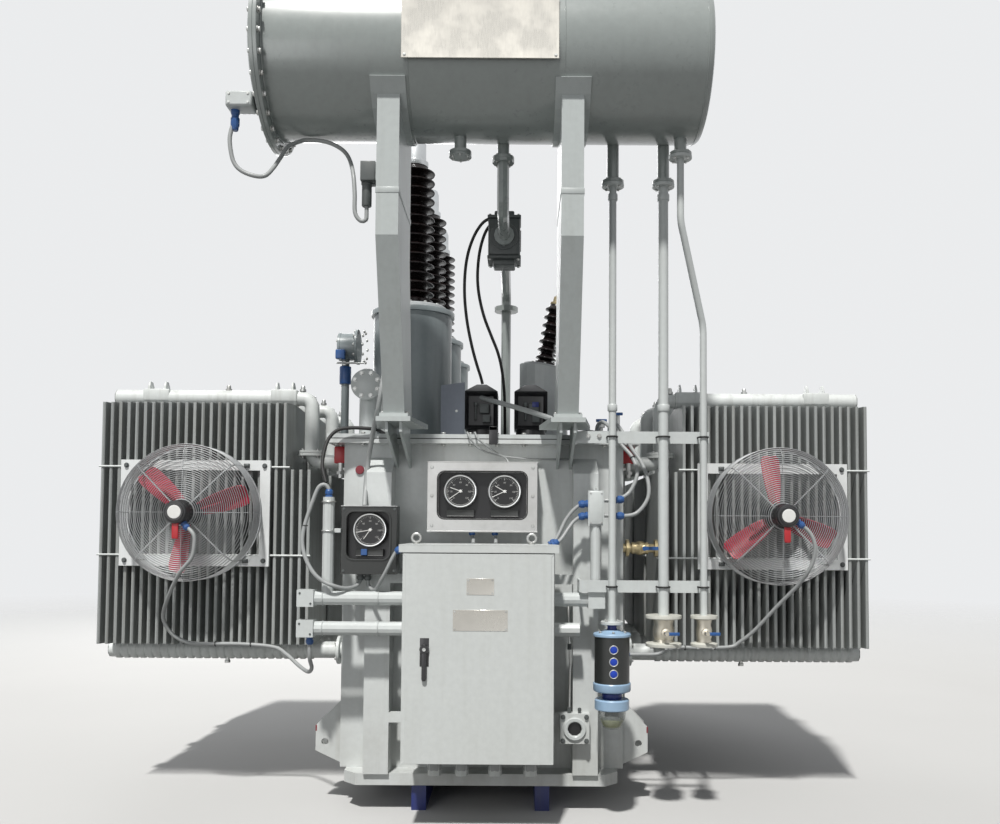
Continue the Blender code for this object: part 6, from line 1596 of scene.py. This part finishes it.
def makeCoverSmallParts():
    # red valve caps at both front corners, the red plug, a clip on the rim, a rod and a conduit on the cover
    reds = []
    for side, low in coverFits["redCaps"]:
        reds.append(softBlock((side * 0.823, tankFront + 0.085, low),
                              (side * 0.7515, tankFront + 0.115, low + 0.093), 0.006))
    finished(reds, "valveCaps", "redPaint")
    stems = []
    for side, low in coverFits["redCaps"]:
        stems.append(upright(0.018, side * 0.787, tankFront + 0.10, low - 0.080, low + 0.002, 20))
        stems.append(upright(0.024, side * 0.787, tankFront + 0.10, low - 0.060, low - 0.044, 6))
        stems.append(startRound(0.013, (side * 0.7495, tankFront + 0.10, low - 0.030),
                                (side * 0.790, tankFront + 0.10, low - 0.030), 16))
    finished(stems, "valveCapStems")
    plug = spun([(0, 0), (0.022, 0), (0.024, 0.003), (0.022, 0.010), (0, 0.011)],
                (-0.666, tankFront - 0.0005, 1.771), ahead, 28)
    finished(plug, "tankPlug", "redMark")
    clip = startBlock((0.030, tankFront - 0.106, 1.905), (0.075, tankFront - 0.0806, 2.000))
    top = startBlock((0.030, tankFront - 0.106, 1.9765), (0.075, tankFront - 0.03, 2.000))
    finished(softEdges(joined([clip, top]), 0.004, 2), "rimClip", "blackPaint")
    route = [(-0.033, 0.34, 2.214), (0.10, 0.24, 2.165), (0.25, 0.13, 2.109), (0.370, 0.04, 2.058)]
    rod = bentTube([fromFront(place) for place in route], 0.0145)
    finished(rod, "coverRod", "greyPlastic", smooth=60)
    route = [(0.52, 0.03, 1.980), (0.560, -0.02, 1.982), (0.60, -0.035, 1.976), (0.66, -0.035, 1.974),
             (0.72, -0.03, 1.974), (0.79, 0.00, 1.976)]
    finished(bentTube(smoothRoute(route), 0.0120, 3, False), "coverConduit", "greyPlastic", smooth=60)
    valve = spun([(0, 0), (0.020, 0), (0.020, 0.030), (0.012, 0.034), (0.012, 0.060), (0.022, 0.062),
                  (0.022, 0.090), (0, 0.092)],
                 (0.640, tankFront + 0.13, onCover), sides=20)
    finished(valve, "coverValve")
    handles = [startBlock((0.612, tankFront + 0.105, coverTop + 0.092),
                          (0.672, tankFront + 0.120, coverTop + 0.108)),
               startBlock((0.700, tankFront + 0.112, coverTop + 0.130),
                          (0.760, tankFront + 0.124, coverTop + 0.146))]
    finished(softEdges(joined(handles), 0.003, 2), "coverValveHandles", "blueGland")
    post = upright(0.010, 0.735, tankFront + 0.13, onCover, coverTop + 0.132, 16)
    finished(post, "coverValvePost")


def makeHoses():
    # grey hose before the left leg, and the dark one over the rim above the left standpipe
    route = [(-0.556, 0.10, 1.9604), (-0.556, 0.07, 2.06), (-0.545, 0.00, 2.20), (-0.520, -0.10, 2.29),
             (-0.505, -0.24, 2.27), (-0.510, -0.30, 2.18), (-0.530, -0.28, 2.07), (-0.560, -0.21, 1.985),
             (-0.588, -0.15, 1.880), (-0.606, -0.115, 1.790), (-0.612, -0.13, 1.680), (-0.608, -0.18, 1.600),
             (-0.606, -0.20, 1.5716)]
    finished(bentTube(smoothRoute(route), 0.0125, 3, False), "gaugeHose", "greyPlastic", smooth=60)
    route = [(-0.545, 0.02, 1.9725), (-0.568, -0.09, 1.980), (-0.640, -0.112, 1.985), (-0.705, -0.115, 1.985),
             (-0.765, -0.125, 1.972), (-0.806, -0.150, 1.925), (-0.822, -0.190, 1.850),
             (-0.822, -0.225, 1.780), (-0.806, -0.255, 1.728), (-0.792, -0.270, 1.690)]
    finished(bentTube(smoothRoute(route), 0.0095, 3, False), "rimHose", "tieBlack", smooth=60)
    band = startRing(0.0335, 0.004, (-0.774, tubeY, 1.592), upward, 32, 8)
    saddle = startRing(0.0335, 0.003, (-0.774, tubeY, 1.444), upward, 32, 8)
    finished([band, saddle], "standpipeBands")
    holder = startBlock((-0.742, tankFront - 0.292, 1.434), (-0.7105, tankFront - 0.268, 1.456))
    finished(softEdges(holder, 0.002, 1), "standpipeHolder", "whitePaint")


def makeJunction():
    # rounded box on the right standpipe, its lugs, and the plate on the tank behind it
    y = tubeY
    low, high = (0.542, y - 0.032, 1.4792), (0.618, y + 0.0298, 1.6555)
    box = softEdges(startBlock(low, high), 0.010, 4)
    lugs = [spun([(0, 0), (0.013, 0), (0.013, 0.006), (0, 0.006)], (0.580, y - 0.012, level), ahead, 20)
            for level in (1.666, 1.474)]
    lid = softBlock((0.546, y - 0.0365, 1.486), (0.614, y - 0.0305, 1.649), 0.004, 2)
    finished([box, lid] + lugs, "junctionBox", "whitePaint")
    screws = [(x, y - 0.0365, z) for z in (1.494, 1.641) for x in (0.553, 0.607)]
    finished(boltsAt([(0.580, y - 0.018, 1.666)] + screws, ahead, 0.004, 0.003), "junctionScrews")
    plate = startBlock((0.512, tankFront - 0.0042, 1.560), (0.618, tankFront - 0.0002, 1.792))
    finished(softEdges(plate, 0.001, 1), "tankBackingPlate", "whitePaint")
    places = [(0.536, tankFront - 0.0042, level) for level in (1.72, 1.60)]
    finished(boltsAt(places, ahead, 0.006, 0.004), "backingPlateBolts")
    nipples = [startRound(0.010, (0.6201, y, level), (0.690, y, level), 14) for level in (1.607, 1.530)]
    finished(nipples, "junctionNipples")
    finished(boltsAt([(0.536, pipeY + 0.030, 1.929), (0.592, pipeY + 0.030, 1.929)], ahead, 0.010, 0.009),
             "upperBarBolts")


makeInspectionPost()
makeNozzle()
makeHoods()
makeDeflector()
makeCoverSmallParts()
makeHoses()
makeJunction()
print("fittings done")

# radiators: pale round headers, goose-necks with bolted flanges, lifting lugs, vent plugs and tie rods
radiator = {"inner": 1.0744, "outer": 2.1092, "short": 0.955, "top": 2.195, "foot": 0.771, "goose": 0.995,
            "branch": 1.835, "flange": 1.865,
            "pitch": 0.045, "fins": 26, "shortFins": 3, "rim": 0.0785, "pipe": 0.0462, "bow": 0.055,
            "depth": 0.24, "finTop": 2.14, "finFoot": 0.825, "shortTop": 1.775}


def tubeAlong(start, end, radius, sides=28, cap=0.006):
    length = (Vector(end) - Vector(start)).length
    return spun(discOutline(radius, length, cap, cap), start, Vector(end) - Vector(start), sides)


def makeRadiatorTrim(side, row, name):
    y = tankFront + 0.31 + row * 0.58
    pale, zinc = [], []
    for level, start in ((radiator["top"], radiator["inner"]), (radiator["foot"], tankSide + 0.001)):
        pale.append(tubeAlong((side * start, y, level), (side * radiator["outer"], y, level),
                              radiator["pipe"]))
    # neck, up and over from the top header and down to the tank's branch
    route = [(side * (radiator["inner"] + 0.02), y, radiator["top"])]
    bow, goose = radiator["bow"], radiator["goose"]
    turns = [math.pi / 2 * step / 6 for step in range(7)]
    route += [(side * (goose + bow - bow * math.sin(turn)), y, radiator["top"] - bow + bow * math.cos(turn))
              for turn in turns]
    route += [(side * (goose - bow + bow * math.cos(turn)), y,
               radiator["branch"] + bow - bow * math.sin(turn)) for turn in turns]
    route.append((side * (tankSide + 0.001), y, radiator["branch"]))
    pale.append(bentTube(route, 0.0405, 5, False))
    for level in (radiator["flange"] - 0.0004, radiator["flange"] + 0.0158):
        pale.append(spun(discOutline(radiator["rim"], 0.0144), (side * goose, y, level), sides=36))
    bottom = spun(discOutline(radiator["rim"], 0.017), (side * (tankSide + 0.0606), y, radiator["foot"]),
                  (side, 0, 0), 36)
    pale.append(bottom)
    for place, direction in (((side * goose, y, radiator["flange"] + 0.0302), upward),
                             ((side * goose, y, radiator["flange"] - 0.0004), downward),
                             ((side * (tankSide + 0.0776), y, radiator["foot"]), (side, 0, 0))):
        zinc.append(boltCircle(4, 0.060, place, direction, 0.010, 0.010, 0.5))
    # lifting lugs on saddles, vent plugs
    for x in (1.150, 1.875):
        pale.append(softBlock((side * x - 0.075, y - 0.048, radiator["top"] - 0.020),
                              (side * x + 0.075, y + 0.048, radiator["top"] + 0.0485), 0.010, 2))
        for shift in (-0.045, 0.045):
            lug = startBlock((side * x + shift - 0.007, y - 0.034, radiator["top"] + 0.040),
                             (side * x + shift + 0.007, y + 0.034, radiator["top"] + 0.062))
            pushFaces(lug, toTop, (0, 0, 0.032), 0.55)
            pale.append(softEdges(lug, 0.002, 1))
    for x in (1.05, 1.475):
        zinc.append(spun([(0, 0.042), (0.018, 0.042), (0.018, 0.054), (0.012, 0.056), (0.012, 0.070),
                          (0.008, 0.076), (0, 0.077)],
                         (side * x, y, radiator["top"]), sides=16))
    zinc.append(spun([(0, 0.042), (0.012, 0.042), (0.012, 0.060), (0.016, 0.062), (0.016, 0.075), (0, 0.077)],
                     (side * 1.45, y, radiator["foot"]), downward, 12))
    for number in range(radiator["fins"] - 1):
        x = radiator["short"] + (number + 0.5) * radiator["pitch"]
        pale.append(spun([(0.040, -0.0165), (0.050, -0.0165), (0.0525, -0.013), (0.0525, 0.013),
                          (0.050, 0.0165), (0.040, 0.0165)],
                         (side * x, y, radiator["foot"]), (1, 0, 0), 18))
    finished(pale, name + "Pipes", "headerPaint", smooth=40)
    finished(zinc, name + "Fixings")
    # rounded lips on the fin edges, tie rods across them
    lips = []
    for edge in (-1, 1):
        lipY = y + edge * (radiator["depth"] - 0.0045)
        for number in range(radiator["fins"]):
            x = side * (radiator["short"] + number * radiator["pitch"])
            top = radiator["shortTop"] if number < radiator["shortFins"] else radiator["finTop"]
            lips.append(upright(0.0086, x, lipY, radiator["finFoot"] + 0.004, top - 0.004, 6))
    finished(lips, name + "FinLips", "finShadedPaint", smooth=60)
    rods = []
    for edge in (-1, 1):
        rodY = y + edge * (radiator["depth"] + 0.0050)
        for level, start in ((1.787, 1.060), (1.307, 0.940)):
            rods.append(startRound(0.0052, (side * start, rodY, level), (side * 2.098, rodY, level), 8))
    finished(rods, name + "TieRods", "headerPaint", smooth=60)


for side, word in ((-1, "left"), (1, "right")):
    for row, place in enumerate(("Front", "Middle", "Rear")):
        makeRadiatorTrim(side, row, word + place + "Radiator")
print("radiators done")


# small things low on the tank: sampling valve with its pipe, red lug marks, side valve body, tube clamps
lowFits = {"sample": (0.482, tankFront - 0.21, 0.444), "pipeX": 0.455, "lugTip": 0.884,
           "sideValve": (tankFront + 0.02, 1.361), "tubes": (0.953, 1.105)}


def makeSamplingValve():
    x, y, z = lowFits["sample"]
    rim = spun([(0.036, 0.0002), (0.058, 0.0002), (0.058, 0.008), (0.054, 0.012), (0.040, 0.012),
                (0.036, 0.009), (0.036, 0.0002)], (x, y, z), ahead, 40)
    finished(rim, "sampleRim", "whitePaint")
    glass = spun([(0, 0), (0.0352, 0), (0.0352, 0.004), (0.020, 0.007), (0, 0.008)],
                 (x, y + 0.014, z), ahead, 36)
    finished(glass, "sampleGlass", "dialBlack")
    corners = [(x + across * 0.060, y - 0.0003, z + up * 0.060) for across in (-1, 1) for up in (-1, 1)]
    finished(boltsAt(corners, ahead, 0.010, 0.012), "sampleBolts", "castPaint")
    # a thin pipe rises from the valve and turns into the tank behind the cable tubes
    pipeX = lowFits["pipeX"]
    route = [(pipeX, y + 0.030, 0.5186), (pipeX, y + 0.030, 0.600), (pipeX + 0.004, y + 0.030, 0.740),
             (pipeX, y + 0.030, 0.860), (pipeX - 0.006, y + 0.032, 0.980), (pipeX - 0.006, y + 0.040, 1.060),
             (pipeX - 0.006, y + 0.075, 1.100), (pipeX - 0.006, y + 0.120, 1.108),
             (pipeX - 0.006, tankFront - 0.0004, 1.108)]
    finished(bentTube(route, 0.0055, 3), "samplePipe", "zincBolt", smooth=60)
    fits = []
    for level, size in ((0.5188, 0.011), (0.842, 0.012)):
        fits.append(upright(size, pipeX, y + 0.030, level, level + 0.030, 6))
    fits.append(upright(0.008, x + 0.026, y + 0.030, 0.5188, 0.545, 16))
    fits.append(upright(0.011, x + 0.026, y + 0.030, 0.532, 0.541, 6))
    finished(fits, "sampleFittings", "castPaint")


def makeLugMarks():
    marks = []
    for side in (-1, 1):
        mark = startBlock((side * (lowFits["lugTip"] - 0.006), tankFront + 0.0185, 0.378),
                          (side * (lowFits["lugTip"] + 0.0018), tankFront + 0.0465, 0.410))
        marks.append(softEdges(mark, 0.001, 1))
    finished(marks, "lugMarks", "redMark")


def makeSideValveBody():
    y, z = lowFits["sideValve"]
    body = spun([(0, 0), (0.030, 0), (0.032, 0.003), (0.030, 0.022), (0.036, 0.034), (0.038, 0.048),
                 (0.036, 0.062), (0.030, 0.074), (0.032, 0.090), (0, 0.092)],
                (0.795, y, z), (1, 0, 0), 32)
    gland = spun([(0, 0.030), (0.015, 0.030), (0.015, 0.050), (0.010, 0.053), (0, 0.053)],
                 (0.86, y, z), ahead, 16)
    finished([body, gland], "sideValveBody", "dullBrass")
    finished(boltCircle(6, 0.037, (0.9352, y, z), (1, 0, 0), 0.006, 0.006), "sideValveBolts")


def makeTubeClamps():
    rings, bolts = [], []
    y = tubeY
    for level in lowFits["tubes"]:
        for x in (-0.795, -0.515, -0.392):
            rings.append(startRing(0.0362, 0.0030, (x, y, level), (1, 0, 0), 32, 8))
        for x, rise in ((-0.905, 0.026), (-0.850, -0.026)):
            bolts.append(boltAt((x, y - 0.0421, level + rise), ahead, 0.0045, 0.004))
    finished(rings, "tubeClamps", "whitePaint")
    finished(bolts, "tubeSquareBolts", "castPaint")


def makeRimGasket():
    # dark seam between the tank's rim and the cover
    half, near, far = tankSide + rim["reach"], tankFront - rim["reach"], 2.2575
    strips = [startBlock((-half - 0.0008, near - 0.0008, 1.9330), (half + 0.0008, near + 0.004, 1.9376))]
    for side in (-1, 1):
        strips.append(startBlock((side * (half - 0.004), near, 1.9330),
                                 (side * (half + 0.0008), far, 1.9376)))
    finished(softEdges(joined(strips), 0.0003, 1), "rimGasket", "tieBlack")


makeRimGasket()
makeSamplingValve()
makeLugMarks()
makeSideValveBody()
makeTubeClamps()
print("small fittings done")


print("all pieces made")
